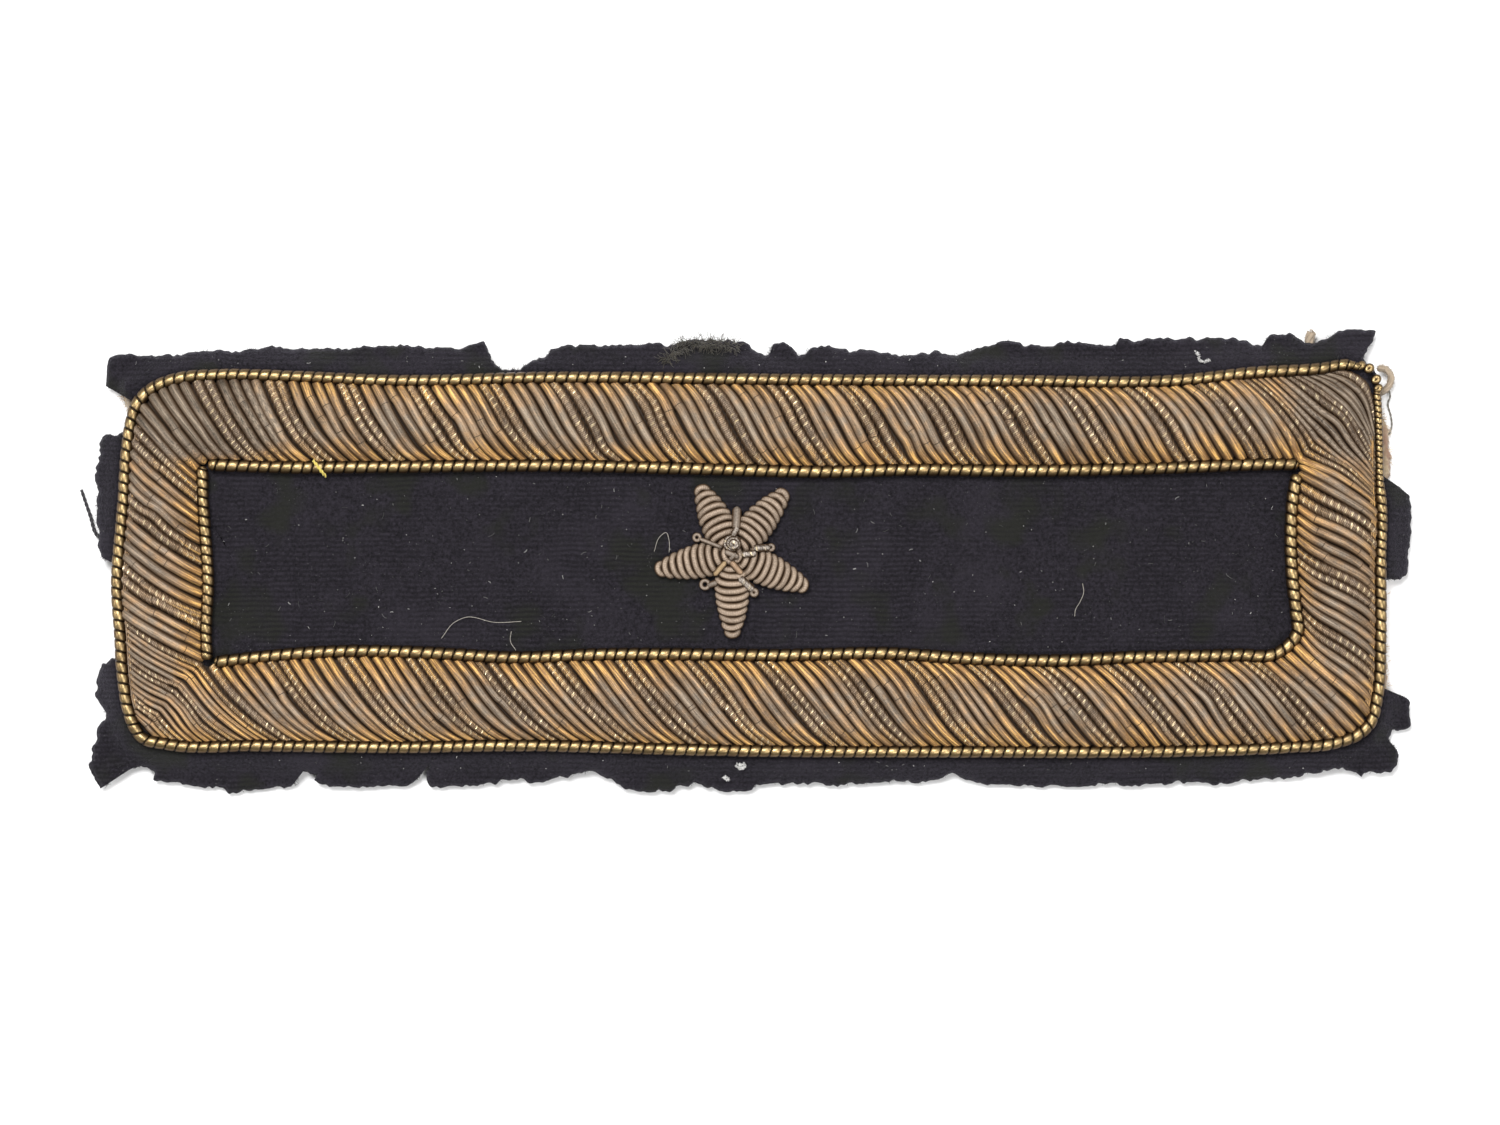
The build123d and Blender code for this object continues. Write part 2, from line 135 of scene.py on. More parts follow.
# The torn and cut edge of the wool, clockwise. Each side ends where the next one starts.
WOOL_EDGE = {
    "top": [
        (-645, 176), (-641, 203), (-621, 208), (-606, 205), (-576, 207), (-552, 210), (-511, 211),
        (-489, 213), (-472, 214), (-454, 212), (-424, 213), (-344, 215), (-284, 214), (-269, 219),
        (-258, 200), (-249, 193), (-230, 194), (-217, 200), (-205, 207), (-202, 212), (-190, 215),
        (-147, 215), (-125, 217), (-89, 217), (-84, 215), (-63, 222), (-27, 220), (-7, 218),
        (6, 210), (14, 206), (19, 208), (23, 217), (38, 218), (42, 209), (51, 206), (60, 213),
        (71, 216), (86, 212), (101, 209), (116, 213), (129, 209), (162, 206), (186, 211),
        (205, 207), (223, 213), (238, 215), (257, 220), (275, 216), (327, 219), (368, 217),
        (369, 222), (383, 220), (398, 222), (455, 221), (490, 223), (500, 218), (517, 219),
        (520, 225), (544, 227), (554, 220), (582, 223), (592, 230),
    ],
    "right": [
        (624, 229), (620, 218), (615, 210), (615, 201), (622, 198), (627, 165), (630, 76),
        (637, 74), (652, 75), (658, 70), (661, 62), (660, 9), (658, -7), (654, -16), (642, -16),
        (630, -19), (627, -140), (636, -143), (644, -140), (653, -135), (660, -138), (662, -148),
        (659, -165), (643, -167), (640, -174), (641, -182), (650, -188), (650, -198),
    ],
    "bottom": [
        (641, -208), (615, -208), (613, -213), (608, -208), (562, -209), (551, -213), (513, -215),
        (480, -219), (429, -219), (383, -221), (352, -219), (340, -222), (260, -222), (229, -220),
        (216, -215), (205, -211), (196, -210), (192, -216), (173, -218), (140, -218), (86, -221),
        (56, -219), (38, -222), (8, -222), (6, -225), (-47, -223), (-54, -219), (-60, -222),
        (-130, -222), (-136, -216), (-151, -211), (-164, -208), (-177, -212), (-195, -215),
        (-212, -219), (-234, -216), (-247, -216), (-256, -220), (-299, -223), (-318, -221),
        (-322, -214), (-320, -204), (-328, -205), (-334, -216), (-342, -223), (-352, -221),
        (-380, -223), (-413, -223), (-435, -217), (-432, -212), (-445, -208), (-458, -209),
        (-456, -214), (-459, -221), (-478, -223), (-500, -226), (-522, -229), (-528, -224),
        (-554, -223), (-576, -219), (-597, -216), (-597, -210), (-603, -205), (-615, -205),
        (-626, -208), (-633, -214),
    ],
    "left": [
        (-644, -210), (-648, -224), (-652, -216), (-659, -208), (-656, -192), (-653, -173),
        (-649, -160), (-645, -153), (-647, -145), (-654, -137), (-653, -120), (-651, -106),
        (-635, -95), (-626, -93), (-628, 4), (-635, 10), (-638, 3), (-650, 5), (-653, 10),
        (-654, 31), (-653, 71), (-656, 86), (-652, 112), (-650, 126), (-627, 129), (-620, 131),
        (-612, 155), (-602, 174), (-625, 175),
    ],
}

# The edge of the cotton, which shows past the cord at the right end and at the top left corner.
COTTON_EDGE = {
    "top": [(-622, 180), (-612, 185), (-500, 188), (-200, 187), (300, 188), (590, 190)],
    "right": [
        (618, 186), (629, 160), (637, 142), (641, 134), (640, 118), (642, 100), (639, 86),
        (633, 78), (631, 10), (636, -14), (638, -40), (637, -70), (639, -100), (637, -130),
        (631, -146), (620, -168),
    ],
    "bottom": [(600, -186), (300, -190), (-200, -189), (-560, -190), (-600, -184)],
    "left": [
        (-620, -160), (-626, -90), (-628, 0), (-625, 80), (-620, 130), (-619, 150), (-626, 158),
        (-629, 168),
    ],
}

# The cloths: the edge, how far it is roughened and the seed of its roughness. Columns are how many
# a cloth's grid has along a long and along a short side.
Cloth = namedtuple("Cloth", "edge rough seed")
WOOL = Cloth(WOOL_EDGE, 0.15 * MM, 21)
COTTON = Cloth(COTTON_EDGE, 0.14 * MM, 31)
WOOL_COLUMNS = (780, 330)
COTTON_COLUMNS = (500, 240)

# A course is a run of border threads laid side by side. Both its lines are given by where the run's
# first and last threads start and end on them, in millimetres. count is how many threads it has.
# shift moves the pattern of two checked threads to four smooth ones. copper is how coppery a
# thread is near its start, its middle and its end. A row of slopes is a share of the run and how
# steeply the thread there leaves its start and reaches its end, in degrees downwards.
Course = namedtuple(
    "Course",
    "side count shift copper start_line start_first start_last end_line end_first end_last slopes",
)
COURSES = [
    Course(
        "top", 92, 2, (0.75, 0.1, 1.0),
        "outer", (-50.5, 13.8), (40.4, 15.2), "inner", (-45.9, 8.4), (45.9, 8.9),
        (
            (0.00, 50, 48), (0.05, 64, 34), (0.12, 68, 20), (0.22, 56, 18), (0.35, 42, 24),
            (0.50, 34, 28), (0.70, 27, 33), (0.90, 26, 44), (1.00, 34, 56),
        ),
    ),
    Course(
        "right", 19, 4, (0.9, 0.15, 0.5),
        "inner", (46.1, 9.1), (45.9, -7.9), "outer", (52.5, 4.6), (51.5, -13.2),
        ((0.00, 28, 36), (0.15, 45, 60), (0.50, 66, 66), (0.90, 66, 60), (1.00, 50, 45)),
    ),
    Course(
        "bottom", 94, 1, (1.0, 0.15, 0.8),
        "inner", (-45.7, -8.7), (45.8, -7.8), "outer", (-38.6, -15.3), (51.4, -13.3),
        (
            (0.00, 50, 25), (0.05, 52, 20), (0.15, 52, 15), (0.35, 44, 20), (0.55, 32, 28),
            (0.75, 24, 36), (0.93, 28, 46), (1.00, 44, 46),
        ),
    ),
    Course(
        "left", 19, 4, (0.05, 0.2, 1.0),
        "outer", (-50.7, 13.6), (-52.4, -4.75), "inner", (-45.9, 8.2), (-46.0, -8.85),
        ((0.00, 42, 44), (0.20, 46, 34), (0.60, 44, 28), (1.00, 36, 24)),
    ),
]

# A corner course crosses a corner. Its threads start and end on the outer cord, and their middles
# stand along the mitre from the first place to the last, crowded towards the first by a power. The
# first threads bend sharply there and the next ones less and less; kinks is how many of them do.
# bow is how far the two halves of such a thread bow towards the corner, as shares of their lengths.
Corner = namedtuple(
    "Corner",
    "side count shift copper start_first start_last middle_first middle_last crowding"
    " end_first end_last kinks bow",
)
CORNERS = [
    Corner(
        "top", 14, 5, (0.35, 0.15, 0.45),
        (40.2, 15.3), (48.4, 16.0), (45.5, 8.4), (51.25, 14.8), 0.92, (52.5, 4.6), (52.3, 10.6),
        5, (0.045, 0.035),
    ),
    Corner(
        "left", 15, 1, (0.2, 0.3, 0.8),
        (-52.4, -4.7), (-51.6, -13.0), (-45.75, -8.35), (-50.3, -13.8), 0.98, (-38.9, -15.3),
        (-49.6, -15.0), 15, (0.02, 0.045),
    ),
]

# Where the padding's mitres lie on the outer and on the inner line of the threads: top left, top
# right, bottom right and bottom left, in millimetres.
OUTER_MITRES = [(-50.3, 14.9), (51.7, 15.9), (51.4, -14.5), (-51.2, -14.6)]
INNER_MITRES = [(-45.3, 7.95), (45.4, 8.1), (45.3, -7.75), (-45.3, -8.2)]

# Where threads were pushed aside: the place, the push in the plane and its reach, in millimetres.
PUSHES = [
    (48.6, 11.6, 0.20, 0.24, 1.3), (12.8, 9.9, 0.25, 0.10, 1.1), (-37.0, 13.0, -0.18, 0.16, 1.2),
    (-24.5, 11.5, 0.16, 0.12, 1.3), (-31.0, 10.4, 0.22, -0.12, 1.5), (31.5, 12.2, -0.14, 0.14, 1.2),
    (-8.0, 13.2, 0.14, 0.12, 1.2), (24.0, -12.0, 0.20, 0.12, 1.3), (-21.0, -11.0, -0.20, 0.16, 1.6),
    (5.0, -12.6, 0.16, -0.14, 1.2), (-47.3, -12.4, 0.20, 0.14, 1.2), (-49.6, 3.6, 0.12, 0.24, 1.1),
    (49.0, -4.0, -0.20, 0.12, 1.2), (38.0, -11.2, 0.20, 0.14, 1.4), (-12.0, 9.6, -0.2, -0.1, 1.2),
]

# The star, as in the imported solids: each ray's bearing in degrees, its reach and its threads.
STAR_CENTRE = np.array((-1.5, 0.7)) * MM
STAR_RADIUS = 6.95 * MM
RAY_WIDTH = 2.85 * MM
RAY_HEIGHT = 1.35 * MM
RAY_START = 1.03 * MM
Ray = namedtuple("Ray", "name bearing reach threads")
RAYS = [
    Ray("down", -89.6, 1.00, 11),
    Ray("right", -23.8, 0.985, 11),
    Ray("upper_right", 49.5, 0.995, 11),
    Ray("upper_left", 115.3, 0.90, 10),
    Ray("left", 192.0, 0.93, 10),
]
# A ray's half outline: place from foot to tip, width and height, as shares.
RAY_OUTLINE = np.array([
    (0.00, 0.36, 0.66), (0.12, 0.60, 0.82), (0.25, 0.90, 0.95), (0.38, 1.01, 1.00),
    (0.60, 0.91, 0.97), (0.80, 0.70, 0.86), (0.92, 0.50, 0.72), (1.00, 0.33, 0.55),
])

# Short pieces of thread sewn between the rays: both ends in twelfths, their heights over the cloth
# and their radius in millimetres, their kind and how light they are. The first ones are the spokes.
Snip = namedtuple("Snip", "x0 y0 x1 y1 low high radius kind tone")
SNIPS = [
    Snip(-13, 56, -14, 32, 0.45, 0.95, 0.40, "grey", 0.60),
    Snip(-8, 8, 6, 9, 1.20, 1.10, 0.33, "check", 0.80),
    Snip(4, 14, 20, 15, 1.05, 0.85, 0.34, "check", 0.45),
    Snip(-19, 1, -8, -12, 1.05, 0.95, 0.30, "copper", 0.60),
    Snip(-11, -15, 3, -28, 0.95, 0.60, 0.38, "check", 0.70),
    Snip(-24, 1, -36, -13, 1.05, 0.90, 0.27, "gold", 0.60),
    Snip(-28, 15, -51, 24, 1.05, 0.80, 0.19, "grey", 1.0),
    Snip(-33, -20, -42, -23, 0.70, 0.50, 0.28, "grey", 0.6),
    Snip(-13, 34, -17, 27, 1.15, 1.45, 0.30, "check", 0.95),
    Snip(-25, 11, -11, 5, 1.10, 1.00, 0.28, "grey", 0.75),
    Snip(-20, 3, -14, 9, 1.15, 1.10, 0.22, "grey", 0.35),
]
SPOKES = 5
# The middle of the knot, in twelfths.
KNOT_PLACE = (-17.5, 18.0)

# Open coil ends that show as rings: place in twelfths, then the height over the cloth and the
# ring's and the wire's radius in millimetres.
RINGS = [
    (-53, 25, 0.60, 0.25, 0.17), (-45, -22, 0.50, 0.33, 0.18), (4, -30, 0.62, 0.22, 0.20),
    (21, 15, 0.85, 0.20, 0.17),
]
# Loose turns at the open end of the outer cord: place in twelfths and size as a share.
LOOSE_TURNS = [(611, 197, 0.36), (619, 194, 0.46), (626, 183, 0.46), (628, 174, 0.38)]
OPEN_CORNER = np.array((51.9, 15.5)) * MM

# Loose ends turned down along the outer cord, at the right and at the left side: where they start
# and end, in millimetres.
TURNED_ENDS = [((52.5, 10.5), (51.9, -12.2)), ((-52.4, -12.6), (-51.6, 11.5))]

# Colours of the painted highlight streaks and the painted glints on the threads, of patches on the
# cloths, and of threads, bright and dull.
GOLD_HIGHLIGHT = (0.72, 0.435, 0.138)
GLINT = (1.0, 0.82, 0.52)
WORN_GREEN = (0.014, 0.0150, 0.0105)
BROWN_SOIL = (0.27, 0.155, 0.11)
CHECKED_GILT = ((0.46, 0.29, 0.145), (0.30, 0.225, 0.16))
CHECKED_SILVER = ((0.56, 0.50, 0.45), (0.42, 0.37, 0.32))
GREYED_SILVER = ((0.34, 0.27, 0.21), (0.22, 0.18, 0.145))
COPPER_SNIP = ((0.40, 0.265, 0.165), (0.40, 0.27, 0.18))
GOLD_SNIP = ((0.44, 0.31, 0.17), (0.42, 0.31, 0.18))

# Rows of points along a smooth and along a checked border thread.
SMOOTH_ROWS = 34
CHECKED_ROWS = 104

# Steps along the cords, along yarns and cloth edges, and along the lines that places are measured
# from, and the steps of a curve between two of a line's points.
CORD_STEP = 0.06 * MM
FINE_STEP = 0.05 * MM
LINE_STEP = 0.3 * MM
CURVE_STEPS = 24

FULL_TURN = 2 * math.pi
# The least height of the wool's lower face and of loose fibres over the table.
TABLE_GAP = 0.03 * MM
# Points nearer than this are one point.
WELD_GAP = 1e-7


def between(low, high, share):
    """The value that lies a share of the way from low to high."""
    return low + (high - low) * share


def ease(low, high, value):
    """0 up to low, 1 from high on, and in between the S curve 3t squared minus 2t cubed."""
    t = np.clip((value - low) / (high - low), 0, 1)
    return t * t * (3 - 2 * t)


def wander(places, period, seed):
    """A value from -1 to 1 that wanders smoothly.

    Seeded random numbers stand one period apart and are joined by S curves.
    """
    knots = np.random.default_rng(seed).uniform(-1, 1, 1024)
    steps = np.asarray(places) / period
    knot = np.floor(steps).astype(int)
    share = ease(0, 1, steps - knot)
    return between(knots[knot % 1024], knots[(knot + 1) % 1024], share)


def lengths_along(line):
    """The distance along a line at each of its points: the running sum of its pieces."""
    pieces = np.linalg.norm(np.diff(line, axis=0), axis=1)
    return np.concatenate([[0.0], np.cumsum(pieces)])


def line_at(line, distance):
    """Points at distances along a line, in straight steps between its own points."""
    run = lengths_along(line)
    return np.stack(
        [np.interp(distance, run, line[:, axis]) for axis in range(line.shape[1])], axis=-1
    )


def even_line(line, step):
    """The same line with its points an even step apart."""
    total = lengths_along(line)[-1]
    return line_at(line, np.linspace(0, total, max(2, round(total / step) + 1)))


def smooth_line(points, step, closed=False):
    """A smooth line through points, in even steps.

    Between two points it is a cubic Hermite curve. Its slope at a point is the mean of the slopes
    of the two straight runs that meet there, each weighted by the length of the other.
    """
    points = np.asarray(points, float)
    if closed:
        points = np.vstack([points[-1:], points, points[:2]])
    else:
        points = np.vstack([2 * points[0] - points[1], points, 2 * points[-1] - points[-2]])
    run = np.linalg.norm(np.diff(points, axis=0), axis=1)[:, None]
    slope = np.diff(points, axis=0) / run
    slope = (slope[:-1] * run[1:] + slope[1:] * run[:-1]) / (run[:-1] + run[1:])
    t = np.linspace(0, 1, CURVE_STEPS + 1)[None, :, None]
    start, end, length = points[1:-2, None], points[2:-1, None], run[1:-1, None]
    curve = (
        (2 * t**3 - 3 * t**2 + 1) * start
        + (t**3 - 2 * t**2 + t) * length * slope[:-1, None]
        + (3 * t**2 - 2 * t**3) * end
        + (t**3 - t**2) * length * slope[1:, None]
    )
    curve = curve[:, :-1].reshape(-1, points.shape[1])
    return even_line(np.vstack([curve, points[-2]]), step)


def side_point(side, along, out, half_length, half_width):
    """A place in the plane from its share along a side and its share outwards."""
    out = out * BORDER_WIDTHS[side]
    if side == "top":
        return (along * half_length, half_width + out)
    if side == "right":
        return (half_length + out, along * half_width)
    if side == "bottom":
        return (along * half_length, -half_width - out)
    return (-half_length - out, along * half_width)


def cord_line(table, half_length, half_width, step):
    """The closed centre line of a cord through every bend of its table."""
    bends = [
        side_point(side, along, out, half_length, half_width)
        for side, rows in table.items()
        for along, out in rows
    ]
    return smooth_line(bends, step, closed=True)


def beside(line, distance):
    """A closed clockwise line moved inwards by a distance, square to its own run."""
    run = np.roll(line[:-1], -1, axis=0) - np.roll(line[:-1], 1, axis=0)
    run /= np.linalg.norm(run, axis=1)[:, None]
    moved = line[:-1] + distance * np.stack([run[:, 1], -run[:, 0]], axis=1)
    return np.vstack([moved, moved[:1]])


def inner_run(name, start, end):
    """The open centre line of one length of the inner cord, without bends close to its ends."""
    bends = [
        side_point(side, along, out, INNER_HALF_LENGTH, INNER_HALF_WIDTH)
        for side in name.split("_")
        for along, out in INNER_CORD[side]
    ]
    ends = np.array((start, end)) * MM
    clear = [bend for bend in bends if np.linalg.norm(ends - bend, axis=1).min() > 1.2 * MM]
    return smooth_line([ends[0], *clear, ends[1]], CORD_STEP)


OUTER_LINE = cord_line(OUTER_CORD, HALF_LENGTH, HALF_WIDTH, LINE_STEP)
INNER_LINE = np.vstack([inner_run(name, *ends) for name, ends in INNER_RUNS.items()])
INNER_LINE = even_line(np.vstack([INNER_LINE, INNER_LINE[:1]]), LINE_STEP)
# The lines on which the border's threads start and end, just under the cords' flanks.
THREAD_LINES = {
    "outer": beside(OUTER_LINE, 0.30 * MM),
    "inner": beside(INNER_LINE, -0.32 * MM),
}


def place_on(line, point):
    """The distance along a line of its point nearest to a given one."""
    return lengths_along(line)[np.linalg.norm(line - point, axis=1).argmin()]


def distance_to(points, line, batch=2000):
    """How far each point of the plane is from a line, worked out in batches to spare memory.

    For each straight piece the nearest place is the point's shadow on it, kept within its ends,
    and the least of those distances counts.
    """
    flat = points.reshape(-1, 2)
    start, run = line[:-1], np.diff(line, axis=0)
    square = (run**2).sum(axis=1)
    found = np.empty(len(flat))
    for first in range(0, len(flat), batch):
        part = flat[first : first + batch, None]
        share = np.clip(((part - start) * run).sum(axis=2) / square, 0, 1)
        gap = part - start - share[..., None] * run
        found[first : first + batch] = np.sqrt((gap**2).sum(axis=2).min(axis=1))
    return found.reshape(points.shape[:-1])


# The stitched width between the two cords' flanks, as a share of the way between their middles.
STITCHED_SHARE = 0.86
CROWN_ANGLE = math.radians(54)
# How far past the stitched width the crown's arc goes on.
CROWN_REACH = 1.12


def across_border(points):
    """Place across the border, from -1 at the outer cord's side to 1 at the inner cord's.

    It is the distance from the outer cord over the distances from both cords together, stretched
    so that the stitched width between the two cords' flanks gives -1 to 1.
    """
    outer, inner = distance_to(points, OUTER_LINE), distance_to(points, INNER_LINE)
    share = outer / (outer + inner)
    return (share - 0.5) / (STITCHED_SHARE / 2)


def crown(across):
    """Height share of the padded border: an arc of a circle of 54 degrees each side, 0 to 1."""
    across = np.clip(across, -CROWN_REACH, CROWN_REACH) * math.sin(CROWN_ANGLE)
    return (np.sqrt(1 - across**2) - math.cos(CROWN_ANGLE)) / (1 - math.cos(CROWN_ANGLE))


def square_to(paths):
    """Two unit vectors square to the run of each path: one level, the other square to both.

    The run of a path at a point is the way between its neighbours.
    """
    run = np.gradient(paths, axis=-2)
    run /= np.linalg.norm(run, axis=-1, keepdims=True)
    level = np.stack([-run[..., 1], run[..., 0], np.zeros(run.shape[:-1])], axis=-1)
    level /= np.maximum(np.linalg.norm(level, axis=-1, keepdims=True), 1e-12)
    return level, np.cross(run, level)


def section_angles(sides, twist):
    """The angles of the corners of a section with so many sides, turned by the twist."""
    return FULL_TURN * np.arange(sides) / sides + np.asarray(twist)[..., None]


def tubes(paths, radius, sides, twist=0.0):
    """Round tubes along many paths of equally many points.

    A tube's point is the path's point plus the radius times the cosine of its angle along the level
    vector square to the run and the sine along the upper one.
    """
    level, upper = (vector[:, :, None] for vector in square_to(paths))
    shape = (*paths.shape[:2], sides)
    angle = np.broadcast_to(section_angles(sides, twist), shape)[..., None]
    radius = np.broadcast_to(radius, shape)[..., None]
    return paths[:, :, None] + radius * (np.cos(angle) * level + np.sin(angle) * upper)


def tube_faces(count, rows, sides):
    """Quads of closed tubes, and the many-sided faces that end them."""
    tube = np.arange(count)[:, None, None] * rows * sides
    row = np.arange(rows - 1)[None, :, None] * sides
    here = np.arange(sides)[None, None, :]
    after = (here + 1) % sides
    low, high = tube + row, tube + row + sides
    quads = np.stack([low + here, low + after, high + after, high + here], axis=-1).reshape(-1, 4)
    first = np.arange(count)[:, None] * rows * sides
    start = (first + np.arange(sides)[::-1]).tolist()
    end = (first + (rows - 1) * sides + np.arange(sides)).tolist()
    return quads.tolist() + start + end


def make_piece(
    name, points, faces, material, values=None, weld=False, flat_faces=False, replaces=()
):
    """Makes one mesh piece that rides on the strap, with the named value at each of its points."""
    points = points.reshape(-1, 3)
    mesh = bpy.data.meshes.new(name)
    mesh.from_pydata(points.tolist(), [], faces)
    for key, value in (values or {}).items():
        spread = np.ascontiguousarray(np.broadcast_to(value, len(points)), dtype=np.float32)
        mesh.attributes.new(key, "FLOAT", "POINT").data.foreach_set("value", spread)
    if weld:
        work = bmesh.new()
        work.from_mesh(mesh)
        bmesh.ops.remove_doubles(work, verts=work.verts, dist=WELD_GAP)
        bmesh.ops.recalc_face_normals(work, faces=work.faces)
        work.to_mesh(mesh)
        work.free()
    mesh.polygons.foreach_set("use_smooth", [not flat_faces] * len(mesh.polygons))
    mesh.materials.append(material)
    mesh.update()
    piece = bpy.data.objects.new(name, mesh)
    bpy.context.scene.collection.objects.link(piece)
    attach(piece, "root")
    if replaces:
        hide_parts(*replaces)
    return piece


def make_threads(
    name, paths, radius, sides, material, values, twist=0.0, flat_faces=False
):
    """A piece of many tubes, whose values are given for each path or each path point.

    Two more values say where a point lies on its tube: low grows from 0 at the top to 2 at the
    bottom, and aside runs from -1 to 1 across it.
    """
    points = tubes(paths, radius, sides, twist)
    angle = section_angles(sides, twist)
    spread = {
        key: np.reshape(value, np.shape(value) + (1,) * (3 - np.ndim(value)))
        for key, value in values.items()
    }
    spread.update(low=1 - np.sin(angle), aside=np.cos(angle))
    shape = points.shape[:3]
    spread = {key: np.broadcast_to(value, shape).ravel() for key, value in spread.items()}
    faces = tube_faces(*shape)
    return make_piece(name, points, faces, material, spread, flat_faces=flat_faces)


# Materials


def rgb(colour, share=1.0):
    """A colour, lighter or darker by a share, with its opacity."""
    return (colour[0] * share, colour[1] * share, colour[2] * share, 1.0)


class Finish:
    """A material under way: its nodes, its shader and the place on the piece."""

    def __init__(self, name, **values):
        """Starts a material, with plain values on the shader's own sockets."""
        self.material = bpy.data.materials.new(name)
        self.material.use_nodes = True
        self.tree = self.material.node_tree
        self.shader = self.tree.nodes["Principled BSDF"]
        for key, value in values.items():
            self.shader.inputs[key.replace("_", " ")].default_value = value
        self.place = self.put("TexCoord").outputs["Object"]

    def put(self, kind, inputs=None, **settings):
        """Adds a shader node. Its inputs are sockets to link or plain values."""
        node = self.tree.nodes.new("ShaderNode" + kind)
        for key, value in settings.items():
            setattr(node, key, value)
        for key, value in (inputs or {}).items():
            if isinstance(value, bpy.types.NodeSocket):
                self.tree.links.new(value, node.inputs[key])
            else:
                node.inputs[key].default_value = value
        return node

    def maths(self, how, first, second=0.0, clamp=False):
        """One sum on two values, kept from 0 to 1 where it is clamped."""
        return self.put("Math", {0: first, 1: second}, operation=how, use_clamp=clamp).outputs[0]

    def plus(self, first, second, clamp=False):
        """The two values added up."""
        return self.maths("ADD", first, second, clamp)

    def minus(self, first, second):
        """The first value less the second."""
        return self.maths("SUBTRACT", first, second)

    def times(self, first, second):
        """One value times the other."""
        return self.maths("MULTIPLY", first, second)

    def steps(self, value, *stops):
        """Turns a value into another one through places and grey levels."""
        node = self.put("ValToRGB", {"Fac": value})
        ramp = node.color_ramp
        while len(ramp.elements) < len(stops):
            ramp.elements.new(0.5)
        for element, (place, level) in zip(ramp.elements, stops):
            element.position = place
            element.color = (level, level, level, 1)
        return node.outputs["Color"]

    def noise(self, size, detail=2.0, roughness=0.55, place=None):
        """A noise whose lumps are about as wide as size."""
        inputs = {
            "Vector": self.place if place is None else place, "Scale": 1 / size, "Detail": detail,
            "Roughness": roughness,
        }
        return self.put("TexNoise", inputs).outputs["Fac"]

    def attribute(self, name):
        """A named value of the mesh."""
        return self.put("Attribute", attribute_name=name).outputs["Fac"]

    def mix(self, share, first, second, how="MIX"):
        """The colour that lies a share of the way from the first to the second."""
        node = self.put("Mix", {0: share, 6: first, 7: second}, data_type="RGBA", blend_type=how)
        return node.outputs[2]

    def bump(self, height, distance, strength=1.0, under=None):
        """A relief whose full height is distance, over the relief under it."""
        inputs = {"Height": height, "Distance": distance, "Strength": strength}
        if under is not None:
            inputs["Normal"] = under
        return self.put("Bump", inputs).outputs["Normal"]

    def made(self, **values):
        """Links values to the shader's sockets and gives the finished material."""
        for key, value in values.items():
            self.tree.links.new(value, self.shader.inputs[key.replace("_", " ")])
        return self.material


def wool_material(colours):
    """Felted navy wool: fine fibres, faint ribs along the strap, lighter worn and greenish patches.

    The ribs are a sine of the place across the strap, 0.42 mm apart and drawn aside by a noise.
    """
    wool = Finish(
        "navy wool", Roughness=0.95, Specular_IOR_Level=0.15, Sheen_Weight=0.12,
        Sheen_Roughness=0.5, Sheen_Tint=(0.75, 0.72, 0.85, 1.0),
    )
    fibre = wool.steps(wool.noise(0.22 * MM, 4.0, 0.75), (0.36, 0.0), (0.64, 1.0))
    across = wool.put("SeparateXYZ", {0: wool.place}).outputs["Y"]
    drift = wool.times(wool.noise(2.4 * MM), 7.0)
    rib = wool.maths("SINE", wool.plus(wool.times(across, FULL_TURN / (0.42 * MM)), drift))
    rib = wool.plus(wool.times(rib, 0.5), 0.5)
    base = wool.mix(fibre, rgb(colours.wool, 0.30), rgb(colours.wool, 2.0))
    worn = wool.steps(wool.noise(6 * MM, 3.0, 0.6), (0.50, 0.0), (0.68, 1.0))
    base = wool.mix(wool.times(worn, 0.45), base, rgb(colours.wool, 2.0))
    moved = wool.put("Mapping", {"Vector": wool.place, "Location": (0.05, 0.02, 0.0)})
    green = wool.noise(5 * MM, place=moved.outputs["Vector"])
    base = wool.mix(wool.steps(green, (0.54, 0.0), (0.66, 0.8)), base, rgb(WORN_GREEN))
    shown = wool.steps(wool.noise(4 * MM), (0.38, 0.15), (0.60, 0.9))
    groove = wool.times(shown, wool.steps(rib, (0.15, 0.6), (0.7, 0.0)))
    base = wool.mix(groove, base, rgb(colours.wool, 0.3))
    lint = wool.steps(wool.noise(0.16 * MM, 1.0, 0.5), (0.70, 0.0), (0.78, 1.0))
    lint = wool.times(lint, wool.steps(wool.noise(3.1 * MM), (0.46, 0.0), (0.66, 0.9)))
    base = wool.mix(lint, base, rgb(colours.lint, 0.14))
    relief = wool.plus(fibre, wool.times(rib, 0.35))
    return wool.made(Base_Color=base, Normal=wool.bump(relief, 0.10 * MM, 0.7))


def cotton_material(colours):
    """Coarse tan cotton: a plain weave of soft threads with brown soiling.

    The weave is two waves, one along the strap and one across it, whichever stands higher. At
    scale 1 such a wave makes 20 radians in a unit.
    """
    cotton = Finish("tan cotton", Roughness=0.9, Specular_IOR_Level=0.2, Sheen_Weight=0.2)
    weave_length = 0.84 * MM
    wave = {"Vector": cotton.place, "Scale": FULL_TURN / 20 / weave_length, "Distortion": 1.5}
    warp, weft = (
        cotton.put("TexWave", wave, bands_direction=way).outputs["Fac"] for way in ("X", "Y")
    )
    cloth = cotton.maths("MAXIMUM", warp, weft)
    soil = cotton.steps(cotton.noise(1.2 * MM, 4.0), (0.42, 0.0), (0.62, 1.0))
    base = cotton.mix(cotton.noise(0.2 * MM, 3.0), rgb(colours.cotton, 0.38), rgb(colours.cotton))
    base = cotton.mix(cotton.times(soil, 0.8), base, rgb(BROWN_SOIL))
    return cotton.made(Base_Color=base, Normal=cotton.bump(cloth, 0.08 * MM, 0.6))


